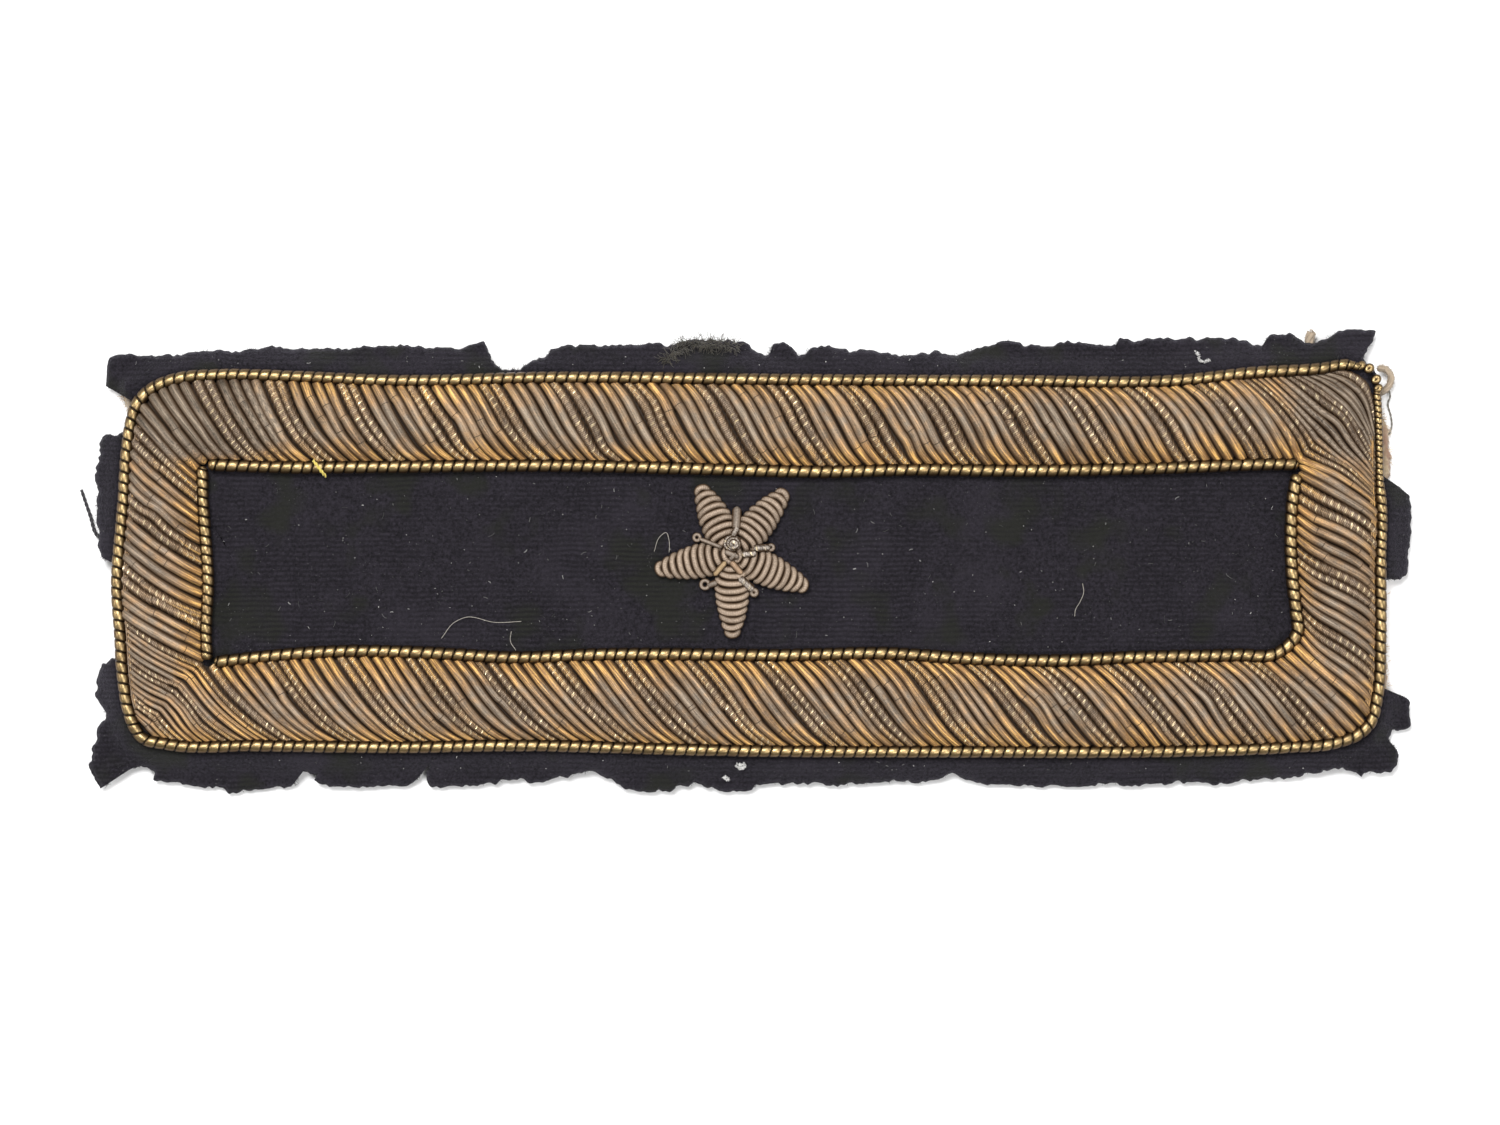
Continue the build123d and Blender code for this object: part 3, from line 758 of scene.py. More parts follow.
def cord_material(colours):
    """Gilt cord: bright olive brass on each turn, dulled unevenly, with painted shade on its sides
    and in the grooves.
    """
    cord = Finish("gilt cord", Metallic=0.9, Specular_IOR_Level=0.5)
    grime = cord.noise(0.45 * MM, 3.0, 0.65)
    base = cord.mix(cord.attribute("tone"), rgb(colours.cord, 0.72), rgb(colours.cord, 1.12))
    base = cord.mix(cord.steps(grime, (0.42, 0.0), (0.68, 0.7)), base, rgb(colours.tarnish_and_shade, 1.9))
    speck = cord.steps(cord.noise(0.10 * MM, 2.0, 0.6), (0.38, 0.35), (0.55, 0.0))
    base = cord.mix(speck, base, rgb(colours.cord, 0.4))
    # Painted shade: each turn darker down its sides, so only its top stays bright as a highlight.
    flank_shade = cord.steps(cord.attribute("low"), (0.07, 0.0), (0.24, 0.5), (0.5, 0.92))
    base = cord.mix(flank_shade, base, rgb(colours.tarnish_and_shade, 0.9))
    # Painted shade deep in the grooves between the turns.
    groove = cord.steps(cord.attribute("groove"), (0.15, 0.0), (0.70, 1.0))
    base = cord.mix(groove, base, rgb(colours.tarnish_and_shade, 0.16))
    rough = cord.plus(0.29, cord.times(grime, 0.2))
    scratch = cord.noise(0.09 * MM, 2.0, 0.6)
    return cord.made(Base_Color=base, Roughness=rough, Normal=cord.bump(scratch, 0.012 * MM, 0.5))


def bullion_material(
    name, colours, bright, dull, shine=None, metallic=0.2, ridge=0.12 * MM, valley_shade=0.16, streaks=0.8,
    glint_length=None,
):
    """Coiled metal thread: fine turns across it, copper where it is less tarnished, dark cracks,
    and painted light and shade.

    The turns are a sine of the distance along the thread over the width of a ridge, and the hollows
    between them are darkened by a given share as painted shade. A crack is dark where that distance
    is within 0.05 mm of the thread's own crack places. Painted highlight streaks run lengthwise: a
    noise that changes slowly along the thread and quickly across it. The top of each thread is
    painted lighter and its sides darker, as highlight and shade. A checked thread has painted
    glints near its top, where the sine of the distance along it over the glint length is high.
    """
    thread = Finish(name, Metallic=metallic, Specular_IOR_Level=0.35)
    run, tone, copper, low, aside = (
        thread.attribute(key) for key in ("run", "tone", "copper", "low", "aside")
    )
    blotch = thread.noise(0.9 * MM, 3.0, 0.6)
    # Painted highlight streaks along the thread, lighter and more golden where it is coppery.
    streak_place = thread.put("CombineXYZ", {
        0: thread.times(run, 1 / (2.2 * MM)), 1: thread.times(aside, 3.6),
        2: thread.times(tone, 37.0),
    }).outputs[0]
    streak = thread.noise(1.0, 1.5, 0.6, streak_place)

    share = thread.plus(copper, thread.times(thread.minus(blotch, 0.5), 1.5))
    # Painted highlight: more copper along the top of each thread.
    crest_highlight = thread.steps(low, (0.0, 0.10), (0.14, 0.0))
    base = thread.mix(thread.plus(share, crest_highlight, clamp=True), rgb(dull), rgb(bright))
    gilded = thread.steps(copper, (0.32, 0.0), (0.85, 1.0))
    streak_highlight_mask = thread.steps(streak, (0.48, 0.0), (0.62, 1.0))
    base = thread.mix(thread.times(gilded, streak_highlight_mask), base, rgb(shine or bright))
    speck = thread.noise(0.13 * MM, 2.0, 0.6)
    # Lighter or darker at random by tone and specks, and lighter along the painted highlight
    # streaks.
    level = thread.plus(thread.times(tone, 0.40), thread.steps(speck, (0.34, 0.15), (0.68, 0.55)))
    level = thread.plus(level, thread.steps(streak, (0.36, 0.0), (0.64, streaks)))
    grey = thread.put("CombineColor", {0: level, 1: level, 2: level}).outputs[0]
    base = thread.mix(1.0, base, grey, "MULTIPLY")

    for crack in ("crack_a", "crack_b"):
        gap = thread.maths("ABSOLUTE", thread.minus(run, thread.attribute(crack)))
        dark = thread.steps(thread.times(gap, 1 / (0.1 * MM)), (0.20, 0.9), (0.50, 0.0))
        base = thread.mix(dark, base, rgb(colours.tarnish_and_shade, 0.35))
    turns = thread.maths("SINE", thread.times(run, FULL_TURN / ridge))
    shaded_valley = thread.times(thread.plus(turns, 1.0), 0.5)
    # Painted shade in the hollows between the wire's turns.
    base = thread.mix(thread.times(shaded_valley, valley_shade), base, rgb(colours.tarnish_and_shade, 0.6))
    # Painted shade: each thread darker down its sides.
    flank_shade = thread.steps(low, (0.08, 0.0), (0.20, 0.38), (0.33, 0.85), (0.5, 1.0))
    base = thread.mix(flank_shade, base, rgb(colours.tarnish_and_shade, 0.9))

    rough = thread.plus(0.46, thread.times(blotch, 0.2))
    linked = {}
    if glint_length:
        # Painted glints: white gold spots near the top of a checked thread, set by a sine along it.
        wave = thread.plus(thread.times(run, FULL_TURN / glint_length), thread.times(tone, 40.0))
        wave = thread.plus(wave, thread.times(aside, 1.3))
        spot = thread.steps(thread.maths("SINE", wave), (0.50, 0.0), (0.95, 1.0))
        for value, *stops in (
            (low, (0.06, 1.0), (0.30, 0.0)),
            (thread.noise(1.1 * MM, 1.0), (0.43, 0.0), (0.55, 1.0)),
            (shaded_valley, (0.30, 1.0), (0.85, 0.3)),
        ):
            spot = thread.times(spot, thread.steps(value, *stops))
        base = thread.mix(spot, base, rgb(GLINT))
        rough = thread.minus(rough, thread.times(spot, 0.26))
        linked["Metallic"] = thread.maths("MAXIMUM", spot, metallic)
    relief = thread.bump(speck, 0.02 * MM, 0.5, thread.bump(turns, 0.012 * MM, 0.6))
    return thread.made(Base_Color=base, Roughness=rough, Normal=relief, **linked)


def fibre_material(name, colour, spread=0.5, roughness=0.8):
    """Loose fibres, with their colour lighter and darker along them."""
    fibre = Finish(name, Roughness=roughness, Sheen_Weight=0.2)
    base = fibre.mix(fibre.noise(0.5 * MM), rgb(colour, 1 - spread), rgb(colour, 1 + spread))
    return fibre.made(Base_Color=base)


def lint_material(colours):
    """Pale lint, from grey to white by its tone."""
    lint = Finish("pale lint", Roughness=0.9)
    base = lint.mix(lint.attribute("tone"), rgb(colours.lint, 0.08), rgb(colours.lint))
    return lint.made(Base_Color=base)


def shaded_padding_material(colours):
    """The felt padding, painted dark brown as the shade that shows between the threads."""
    padding = Finish("shaded padding", Roughness=0.9)
    blotch = padding.noise(0.3 * MM, 3.0)
    base = padding.mix(blotch, rgb(colours.tarnish_and_shade, 0.2), rgb(colours.tarnish_and_shade, 0.5))
    return padding.made(Base_Color=base, Normal=padding.bump(blotch, 0.05 * MM))


def floor_material():
    """Plain white paper."""
    paper = Finish("white paper", Roughness=0.9, Specular_IOR_Level=0.1)
    base = paper.mix(paper.noise(0.8 * MM), (0.93, 0.93, 0.93, 1.0), (0.96, 0.96, 0.96, 1.0))
    return paper.made(Base_Color=base)


# Cloth

# The share from a cloth's middle outwards at which its grid crosses the hem, the line just inside
# the outer cord, and how far along the strap the middle line goes, as a share of the half length.
HEM_SHARE = 0.8
HEM_INSET = 0.7 * MM
SPINE_SHARE = 0.82
# The wandering values that roughen a cloth's edge: their sizes as shares and periods in columns.
ROUGHNESS = [(0.6, 9.0), (0.6, 4.1), (0.7, 2.1)]
# The least thickness of the wool, at its torn edge.
TORN_THICKNESS = 0.55 * MM


def edge_runs(table, columns):
    """The four runs of a cloth's edge, each in even steps up to the start of the next.

    A run is the mean of the sharp line through the places of its table and of a smooth one.
    """
    sides = list(table)
    runs = []
    for side, after in zip(sides, sides[1:] + sides[:1]):
        count = columns[0] if side in ("top", "bottom") else columns[1]
        shares = np.arange(count) / count
        sharp = np.array([*table[side], table[after][0]], float) * TWELFTH
        soft = smooth_line(sharp, FINE_STEP)
        sharp, soft = (line_at(line, shares * lengths_along(line)[-1]) for line in (sharp, soft))
        runs.append(between(sharp, soft, 0.5))
    return runs


def nearest_places(points, line):
    """The distances along a closed line of its points nearest to a row of points, in order."""
    run = lengths_along(line)
    nearest = run[np.linalg.norm(points[:, None] - line, axis=2).argmin(axis=1)]
    return np.maximum.accumulate(np.unwrap(nearest, period=run[-1]))


def cloth_grid(cloth, columns, shares):
    """Places of a cloth on a grid of columns round its edge and shares from its middle outwards.

    A column starts on the middle line along the strap, where a column from the other long side
    meets it, crosses the hem at its share and ends on the edge, straight in between. It crosses the
    hem at the place nearest to its end, mixed with an even spread so that neighbours never cross.
    The edge is roughened square to its run by wandering values, whose seeded draws go on from the
    cloth's own seed. The second result is the way outwards at each column's end.
    """
    long_count, short_count = columns
    edge = np.vstack(edge_runs(cloth.edge, columns))
    place = np.arange(len(edge))
    run = np.roll(edge, -3, axis=0) - np.roll(edge, 3, axis=0)
    run /= np.linalg.norm(run, axis=1)[:, None]
    outwards = np.stack([-run[:, 1], run[:, 0]], axis=1)
    ragged = sum(
        size * wander(place, period, cloth.seed + number)
        for number, (size, period) in enumerate(ROUGHNESS)
    )
    ragged *= ease(0, 40, place) * ease(0, 40, len(edge) - place)
    hem = beside(OUTER_LINE, HEM_INSET)
    total = lengths_along(hem)[-1]
    near = nearest_places(edge, hem)
    even = near[0] + total * place / len(edge)
    crossing = line_at(hem, (0.75 * near + 0.25 * even) % total)
    edge = edge + outwards * (cloth.rough * ragged)[:, None]
    spine = SPINE_SHARE * HALF_LENGTH
    along = spine * (2 * np.arange(long_count) / long_count - 1)
    along = np.concatenate([
        along, np.full(short_count, spine), -along, np.full(short_count, -spine),
    ])
    middle = np.stack([along, np.zeros(len(edge))], axis=1)
    shares = np.asarray(shares)[:, None, None]
    places = np.where(
        shares < HEM_SHARE,
        between(middle, crossing, shares / HEM_SHARE),
        between(crossing, edge, (shares - HEM_SHARE) / (1 - HEM_SHARE)),
    )
    return places, outwards


def closed_sheet_faces(rows, columns):
    """Quads of a sheet's grid, closed round its columns."""
    row = np.arange(rows - 1)[:, None] * columns
    here = np.arange(columns)[None]
    after = (here + 1) % columns
    quads = [row + here, row + columns + here, row + columns + after, row + after]
    return np.stack(quads, axis=-1).reshape(-1, 4).tolist()


def wool_height(places):
    """Height of the wool's upper face: level under the stitching, sagging past the outer cord.

    The sag grows by an S curve from 0.5 to 2.8 mm outside the cord and is uneven along the edge.
    Between the cords the cloth has shallow waves. The second result is how far outside the cord a
    place lies.
    """
    x, y = places[..., 0], places[..., 1]
    beyond = np.maximum(np.abs(x) - HALF_LENGTH, np.abs(y) - HALF_WIDTH)
    outside = np.where(beyond > -1.0 * MM, distance_to(places, OUTER_LINE), 0)
    outside *= ease(-0.6 * MM, 0.1 * MM, beyond)
    uneven = (0.85 + 0.25 * wander(x + 1.7 * y, 6 * MM, 11)) * MM
    wave = wander(x, 4.3 * MM, 12) * wander(y + 0.3 * x, 3.1 * MM, 13)
    ripple = 0.05 * MM * (wave + 0.5 * wander(x - y, 1.3 * MM, 14))
    return CLOTH_TOP - ease(0.5 * MM, 2.8 * MM, outside) * uneven + ripple, outside


def lay_sheet(name, places, height, material, replaces):
    """A cloth's closed mesh, from its places in the plane and the heights of its grid."""
    points = np.concatenate([places, height[..., None]], axis=2)
    faces = closed_sheet_faces(*places.shape[:2])
    return make_piece(name, points, faces, material, weld=True, replaces=replaces)


def lay_wool(colours):
    """The wool ground, a closed sheet whose thickness thins out towards its torn edge.

    Its rows go from the middle of the upper face over the rounded edge to the middle of the lower
    face. Under the stitching the lower face lies on the cotton, and past it down on the table.
    """
    top_shares = np.concatenate([
        np.linspace(0, HEM_SHARE, 22), [0.83, 0.86, 0.89, 0.915, 0.94, 0.96, 0.977, 0.99, 1.0],
    ])
    shares = [*top_shares, 1.012, 1.0, 0.94, 0.86, 0.8, 0.4, 0.0]
    top_rows = len(top_shares)
    places, _ = cloth_grid(WOOL, WOOL_COLUMNS, shares)
    top, outside = wool_height(places)
    thick = between(CLOTH_TOP - CLOTH_BOTTOM, TORN_THICKNESS, ease(0.3 * MM, 2.0 * MM, outside))
    under = np.ones(len(shares))
    under[: top_rows - 1] = 0.0
    under[top_rows - 1 : top_rows + 1] = 0.14, 0.5
    height = np.maximum(top - thick * under[:, None], TABLE_GAP)
    resting = np.where(outside < 0.4 * MM, CLOTH_BOTTOM, TABLE_GAP)
    height[top_rows + 1 :] = np.maximum(height, resting)[top_rows + 1 :]
    piece = lay_sheet(
        "wool_ground", places, height, wool_material(colours), ["cloth_ground"]
    )


def lay_cotton(colours):
    """The cotton backing, a closed sheet that lies on the table, its edge rounded and uneven."""
    top_shares = [*np.linspace(0, HEM_SHARE, 6), 0.88, 0.94, 0.98, 1.0]
    shares = [*top_shares, 1.02, 1.0, 0.8, 0.0]
    places, _ = cloth_grid(COTTON, COTTON_COLUMNS, shares)
    level = np.array([*np.ones(len(top_shares) - 1), 0.8, 0.5, 0.0, 0.0, 0.0])[:, None]
    bulge = 1 + 0.06 * wander(np.arange(places.shape[1]), 11.0, 33)
    height = BACKING_TOP * level * np.where(level > 0.9, 1.0, bulge)
    piece = lay_sheet(
        "cotton_backing", places, height, cotton_material(colours), ["backing"]
    )


def fibres(roots, way, length, curl, seed):
    """Curved fibres from roots.

    A fibre's point lies at a share of its length along its way, and aside by its bend times the
    square of that share. The bends are drawn up to the curl to either side.
    """
    rng = np.random.default_rng(seed)
    count = len(roots)
    t = np.linspace(0, 1, 4)[None, :, None]
    aside = np.stack([-way[:, 1], way[:, 0], rng.uniform(-0.4, 0.5, count)], axis=1)[:, None]
    bend = rng.uniform(-curl, curl, (count, 1, 1))
    length = np.asarray(length).reshape(-1, 1, 1)
    return roots[:, None] + length * (t * way[:, None] + bend * t**2 * aside)


def fray_edge(name, cloth, count, height, length, radius, material, seed):
    """Short fibres that stand out of a cloth's edge at seeded places, in clumps."""
    rng = np.random.default_rng(seed)
    places, outwards = cloth_grid(cloth, WOOL_COLUMNS, [0.0, 0.995, 1.0])
    column = rng.integers(0, places.shape[1], count)
    spot = places[1, column]
    angle = rng.normal(0, 1.1, count)
    out = outwards[column]
    way = np.stack([
        out[:, 0] * np.cos(angle) - out[:, 1] * np.sin(angle),
        out[:, 0] * np.sin(angle) + out[:, 1] * np.cos(angle),
        rng.uniform(-0.25, 0.35, count),
    ], axis=1)
    roots = np.concatenate([spot, height(spot)[:, None]], axis=1)
    clumps = 0.5 + 0.7 * np.abs(wander(column, 14.0, seed + 1))
    paths = fibres(roots, way, length * clumps * rng.uniform(0.3, 1.0, count), 1.5, seed + 2)
    paths[..., 2] = np.maximum(paths[..., 2], TABLE_GAP)
    return make_threads(name, paths, radius, 3, material, {"tone": rng.uniform(0, 1, count)})


def scatter_lint(colours, tries=1100):
    """White specks and short hairs lying on the wool, clear of the cords."""
    rng = np.random.default_rng(51)
    spot = rng.uniform(-1, 1, (tries, 2)) * (HALF_LENGTH + 1.2 * MM, HALF_WIDTH + 2.0 * MM)
    clear = (distance_to(spot, OUTER_LINE) > 0.8 * MM) & (distance_to(spot, INNER_LINE) > 0.9 * MM)
    spot = spot[clear]
    x, y = np.abs(spot.T)
    inside = (x < INNER_HALF_LENGTH) & (y < INNER_HALF_WIDTH)
    margin = (y > HALF_WIDTH + 0.7 * MM) & (x < HALF_LENGTH)
    spot = spot[inside | margin]
    count = len(spot)
    angle = rng.uniform(0, 2 * np.pi, count)
    way = np.stack([np.cos(angle), np.sin(angle), np.zeros(count)], axis=1)
    top, _ = wool_height(spot)
    roots = np.concatenate([spot, (top + 0.03 * MM)[:, None]], axis=1)
    size = rng.uniform(0, 1, count) ** 5
    paths = fibres(roots, way, between(0.05, 0.45, size) * MM, 1.2, 52)
    paths[..., 2] = roots[:, None, 2]
    radius = between(0.018, 0.044, rng.uniform(0, 1, count) ** 2) * (1 - 0.6 * size) * MM
    tone = rng.uniform(0, 1, count) ** 3 * (1 - 0.6 * size)
    return make_threads(
        "wool_lint", paths, radius[:, None, None], 4, lint_material(colours),
        {"tone": tone},
    )


# Border

# Rows of a padding's section over its upper and its lower face, and how far in from its two lines
# they start, as a share.
PAD_ROWS = (19, 5)
PAD_INSET = 0.03
# How far the padding's top stays under the border's top, and its foot over the cloth.
PAD_DEPTH = 0.95 * MM
PAD_FOOT = 0.12 * MM
# The length of a border thread's two handles, as a share of its straight way, and how far their
# slopes are drawn towards that way's own slope.
HANDLE_SHARE = 0.32
STRAIGHTENING = 0.3
# A thread's radius as a share of the mean way across to its two neighbours: a little over half, so
# that threads touch. It is never less than the second number times the widest radius.
CLOSENESS = 0.535
THINNEST = 0.45
# The way past the first or the last thread, as a share of the way to its one neighbour.
END_ROOM = 1.4
# Heights of the threads' middles: over the cloth at the cords, under the border's top at the crown,
# and the least height over the cloth.
THREAD_FOOT = 0.30 * MM
THREAD_DEPTH = 0.38 * MM
THREAD_FLOOR = 0.2 * MM
# The upper corners, where the metal is dull: from and up to where along and across, in millimetres.
DULL_CORNERS = [((-38, -44), (8, 10)), ((44, 48), (8, 11))]


def pad_side(side, colours):
    """One side of the border's padding.

    Its grid goes along the side from mitre to mitre and across from cord to cord. The upper face
    follows the crown, under the threads; the lower face is flat on the cloth.
    """
    first = list(BORDER_WIDTHS).index(side)
    count = 240 if side in ("top", "bottom") else 60
    ends = []
    for line_name, mitres in (("outer", OUTER_MITRES), ("inner", INNER_MITRES)):
        ends.append(course_ends(
            line_name, mitres[first], mitres[(first + 1) % 4], np.linspace(0, 1, count)
        ))
    upper, lower = PAD_ROWS
    shares = np.concatenate([
        np.linspace(PAD_INSET, 1 - PAD_INSET, upper), np.linspace(1 - PAD_INSET, PAD_INSET, lower),
    ])[:, None, None]
    places = between(ends[0][None], ends[1][None], shares)
    rise = (BORDER_TOP - STITCHED_BOTTOM - PAD_DEPTH) * np.maximum(crown(across_border(places)), 0)
    height = STITCHED_BOTTOM + PAD_FOOT + rise
    height[upper:] = STITCHED_BOTTOM
    points = np.concatenate([places, height[..., None]], axis=2).swapaxes(0, 1)
    return make_piece(
        f"border_padding_{side}", points, tube_faces(1, count, upper + lower),
        shaded_padding_material(colours), weld=True, replaces=[f"border_{side}"],
    )


def course_ends(line_name, first, last, shares):
    """Where threads meet one of their lines, at shares of the way between two places on it."""
    line = THREAD_LINES[line_name]
    total = lengths_along(line)[-1]
    start, end = (place_on(line, np.array(place) * MM) for place in (first, last))
    if abs(end - start) > total / 2:
        end += math.copysign(total, start - end)
    return line_at(line, between(start, end, shares) % total)


def course_plan(course, rows, seed):
    """The plan of a course's threads between its two lines.

    A thread is a cubic Bezier curve, whose two handles leave its ends near the slopes of the
    course's table.
    """
    rng = np.random.default_rng(seed)
    count = course.count
    number = np.arange(count)
    shares = np.clip((number + 0.5 + rng.uniform(-0.10, 0.10, count)) / count, 0, 1)
    starts = course_ends(course.start_line, course.start_first, course.start_last, shares)
    ends = course_ends(course.end_line, course.end_first, course.end_last, shares)
    places, *slopes = np.array(course.slopes).T
    steep = np.radians([np.interp(shares, places, slope) for slope in slopes])
    unruly = np.stack([wander(number, 3.0, seed + 8), wander(number, 3.0, seed + 9)])
    steep = steep + np.radians(4) * unruly
    straight = np.arctan2(starts[:, 1] - ends[:, 1], ends[:, 0] - starts[:, 0])
    steep = between(steep, straight, STRAIGHTENING)
    ways = np.stack([np.cos(steep), -np.sin(steep)], axis=2)
    handles = HANDLE_SHARE * np.linalg.norm(ends - starts, axis=1)[:, None] * ways
    p0, p1, p2, p3 = (
        part[:, None] for part in (starts, starts + handles[0], ends - handles[1], ends)
    )
    t = np.linspace(0, 1, rows)[None, :, None]
    return (1 - t) ** 3 * p0 + 3 * t * (1 - t) ** 2 * p1 + 3 * t**2 * (1 - t) * p2 + t**3 * p3


def corner_plan(corner, rows, seed):
    """The plan of a corner's threads.

    A thread's curve is a quadratic one through its start, its middle on the mitre and its end. A
    bent thread goes straight between them instead, each half bowed by a half sine.
    """
    rng = np.random.default_rng(seed)
    count = corner.count
    number = np.arange(count)
    shares = np.clip((number + 0.5 + rng.uniform(-0.14, 0.14, count)) / count, 0, 1)
    starts = course_ends("outer", corner.start_first, corner.start_last, shares)
    ends = course_ends("outer", corner.end_first, corner.end_last, shares)
    crowded = (shares**corner.crowding)[:, None]
    first, last = np.array(corner.middle_first), np.array(corner.middle_last)
    middles = between(first, last, crowded) * MM
    starts, middles, ends = starts[:, None], middles[:, None], ends[:, None]
    t = np.linspace(0, 1, rows)[None, :, None]
    pull = 2 * middles - (starts + ends) / 2
    curve = (1 - t) ** 2 * starts + 2 * t * (1 - t) * pull + t**2 * ends
    bent = np.where(t < 0.5, between(starts, middles, 2 * t), between(middles, ends, 2 * t - 1))
    outwards = (last - first) / np.linalg.norm(last - first)
    bows = [
        bow * np.linalg.norm(end - middles, axis=2, keepdims=True)
        for bow, end in zip(corner.bow, (starts, ends))
    ]
    half_sine = np.sin(np.pi * (1 - np.abs(2 * t - 1)))
    bent = bent + outwards * np.where(t < 0.5, *bows) * half_sine
    bending = np.clip((corner.kinks - number) / 3, 0, 1)[:, None, None]
    return between(curve, bent, bending)


def room_for_threads(plan, widest):
    """The radius that each thread has room for at each of its points.

    It is a share of the mean way across to its two neighbours. The first and the last thread have a
    little more room on their free side.
    """
    run = np.gradient(plan, axis=1)
    run /= np.linalg.norm(run, axis=2, keepdims=True)
    step = np.diff(plan, axis=0)
    across = np.abs(step[..., 0] * run[1:, :, 1] - step[..., 1] * run[1:, :, 0])
    across = np.concatenate([END_ROOM * across[:1], across, END_ROOM * across[-1:]])
    return np.clip(CLOSENESS * (across[:-1] + across[1:]) / 2, THINNEST * widest, widest)


def crack_shares(course, seed):
    """Two places, as shares of each thread, where its wire has cracked; below 0 where it hasn't.

    The places wander from thread to thread, so cracks line up over neighbours. The left side has
    more of them.
    """
    rng = np.random.default_rng(seed)
    number = np.arange(course.count)
    often = 0.10 if course.side == "left" else -0.12
    cracks = []
    for step, middle in ((2, 0.34), (3, 0.66)):
        jitter = rng.uniform(-0.03, 0.03, course.count)
        share = middle + 0.22 * wander(number, 2.6, seed + step) + jitter
        cracked = wander(number, 1.7, seed + 5 + step) + often > 0.12
        cracks.append(np.where(cracked, share, -1.0))
    return cracks


def over_padding(plan, cracks, seed):
    """Raises a plan of threads over the padding, with wander and pushes, and gives its paths.

    The height follows the crown of the border. A thread wanders aside by smooth seeded noise, fixed
    at its ends, and is moved by every push by a bell curve of its distance. Past a crack it lies a
    little aside.
    """
    number = np.arange(len(plan))[:, None]
    reach = plan[:, -1] - plan[:, 0]
    length = np.linalg.norm(reach, axis=1)[:, None]
    t = np.linspace(0, 1, plan.shape[1])[None]
    aside = (np.stack([reach[:, 1], -reach[:, 0]], axis=1) / length)[:, None]
    place = t * length
    wobble = 0.035 * wander(place + number * 37.3 * MM, 2.6 * MM, seed + 1)
    wobble = wobble + 0.12 * wander(place, 2.2 * MM, seed + 2) * wander(number, 4.0, seed + 3)
    for step, crack in enumerate(cracks):
        shift = 0.09 * wander(number, 1.0, seed + 6 + step) * (crack[:, None] > 0)
        wobble = wobble + shift * ease(-0.012, 0.012, t - crack[:, None])
    plan = plan + aside * (wobble * MM * np.sqrt(np.sin(np.pi * t)))[..., None]
    for x, y, push_x, push_y, extent in PUSHES:
        gap = np.linalg.norm(plan - np.array((x, y)) * MM, axis=2, keepdims=True)
        plan = plan + np.array((push_x, push_y)) * MM * np.exp(-((gap / (extent * MM)) ** 2))
    foot = STITCHED_BOTTOM + THREAD_FOOT
    height = foot + (BORDER_TOP - THREAD_DEPTH - foot) * crown(across_border(plan))
    height = height + 0.05 * MM * wander(number * 5.1 + place / MM, 1.9, seed + 4)
    height = np.maximum(height, STITCHED_BOTTOM + THREAD_FLOOR)
    return np.concatenate([plan, height[..., None]], axis=2)


def runs_along(paths):
    """The distance along each path at each of its points."""
    piece = np.linalg.norm(np.diff(paths, axis=1), axis=2)
    return np.concatenate([np.zeros((len(paths), 1)), np.cumsum(piece, axis=1)], axis=1)


def thread_values(course, paths, cracks, seed):
    """What the material needs to know of each thread.

    Those are the run along it, its tone, how coppery it is and its two crack places. Copper eases
    from the course's share at the start to that in the middle and at the end, wanders from thread
    to thread and comes out where a corner's threads bend. Both corners at the top are dull.
    """
    rng = np.random.default_rng(seed)
    count, rows = paths.shape[:2]
    number = np.arange(count)[:, None]
    run = runs_along(paths)
    t = np.linspace(0, 1, rows)[None]
    at_start, at_middle, at_end = course.copper
    copper = between(at_start, at_middle, ease(0.0, 0.45, t))
    copper = between(copper, at_end, ease(0.55, 1.0, t)) + rng.uniform(-0.14, 0.14, (count, 1))
    copper = copper + 0.22 * wander(number + 3 * t, 4.0, seed + 1)
    if isinstance(course, Corner):
        copper = copper + np.exp(-(((t - 0.5) / 0.10) ** 2) - (number / 3.5) ** 2)
    dull = np.max([
        ease(*np.multiply(along, MM), paths[..., 0]) * ease(*np.multiply(across, MM), paths[..., 1])
        for along, across in DULL_CORNERS
    ], axis=0)
    return {
        "run": run, "tone": rng.uniform(0.25, 1.0, (count, 1)) - 0.6 * dull,
        "copper": copper - 0.9 * dull, "crack_a": cracks[0] * run[:, -1],
        "crack_b": cracks[1] * run[:, -1],
    }


def plain_values(paths, tone, copper):
    """The same values for threads of one tone and copper share each, without cracks."""
    count = len(paths)
    return {
        "run": runs_along(paths), "tone": np.full(count, tone), "copper": np.full(count, copper),
        "crack_a": np.full(count, -MM), "crack_b": np.full(count, -MM),
    }


def check_section(paths, values, radius, quarter):
    """Radius and twist of a checked thread.

    The wire was wound on a four-sided bar, so every second corner of the section is drawn in, the
    section makes a quarter turn over a given length, and each turn of wire is a small ridge.
    """
    ridge = np.where(np.arange(paths.shape[1]) % 2 == 0, 1.0, 0.97)[None, :, None]
    flat = np.where(np.arange(8) % 2 == 0, 1.0, 0.91)[None, None, :]
    twist = values["run"] / quarter * (np.pi / 2) + 2.4 * np.arange(len(paths))[:, None]
    return radius * ridge * flat, twist


def course_threads(course, rows, checked, widest, seed):
    """Paths, radii and values of the checked or of the smooth threads of a course."""
    plan = (corner_plan if isinstance(course, Corner) else course_plan)(course, rows, seed)
    cracks = crack_shares(course, seed + 15)
    paths = over_padding(plan, cracks, seed)
    values = thread_values(course, paths, cracks, seed + 10)
    which = ((np.arange(course.count) + course.shift) % 6 < 2) == checked
    radius = room_for_threads(plan, widest)
    return paths[which], radius[which], {key: value[which] for key, value in values.items()}


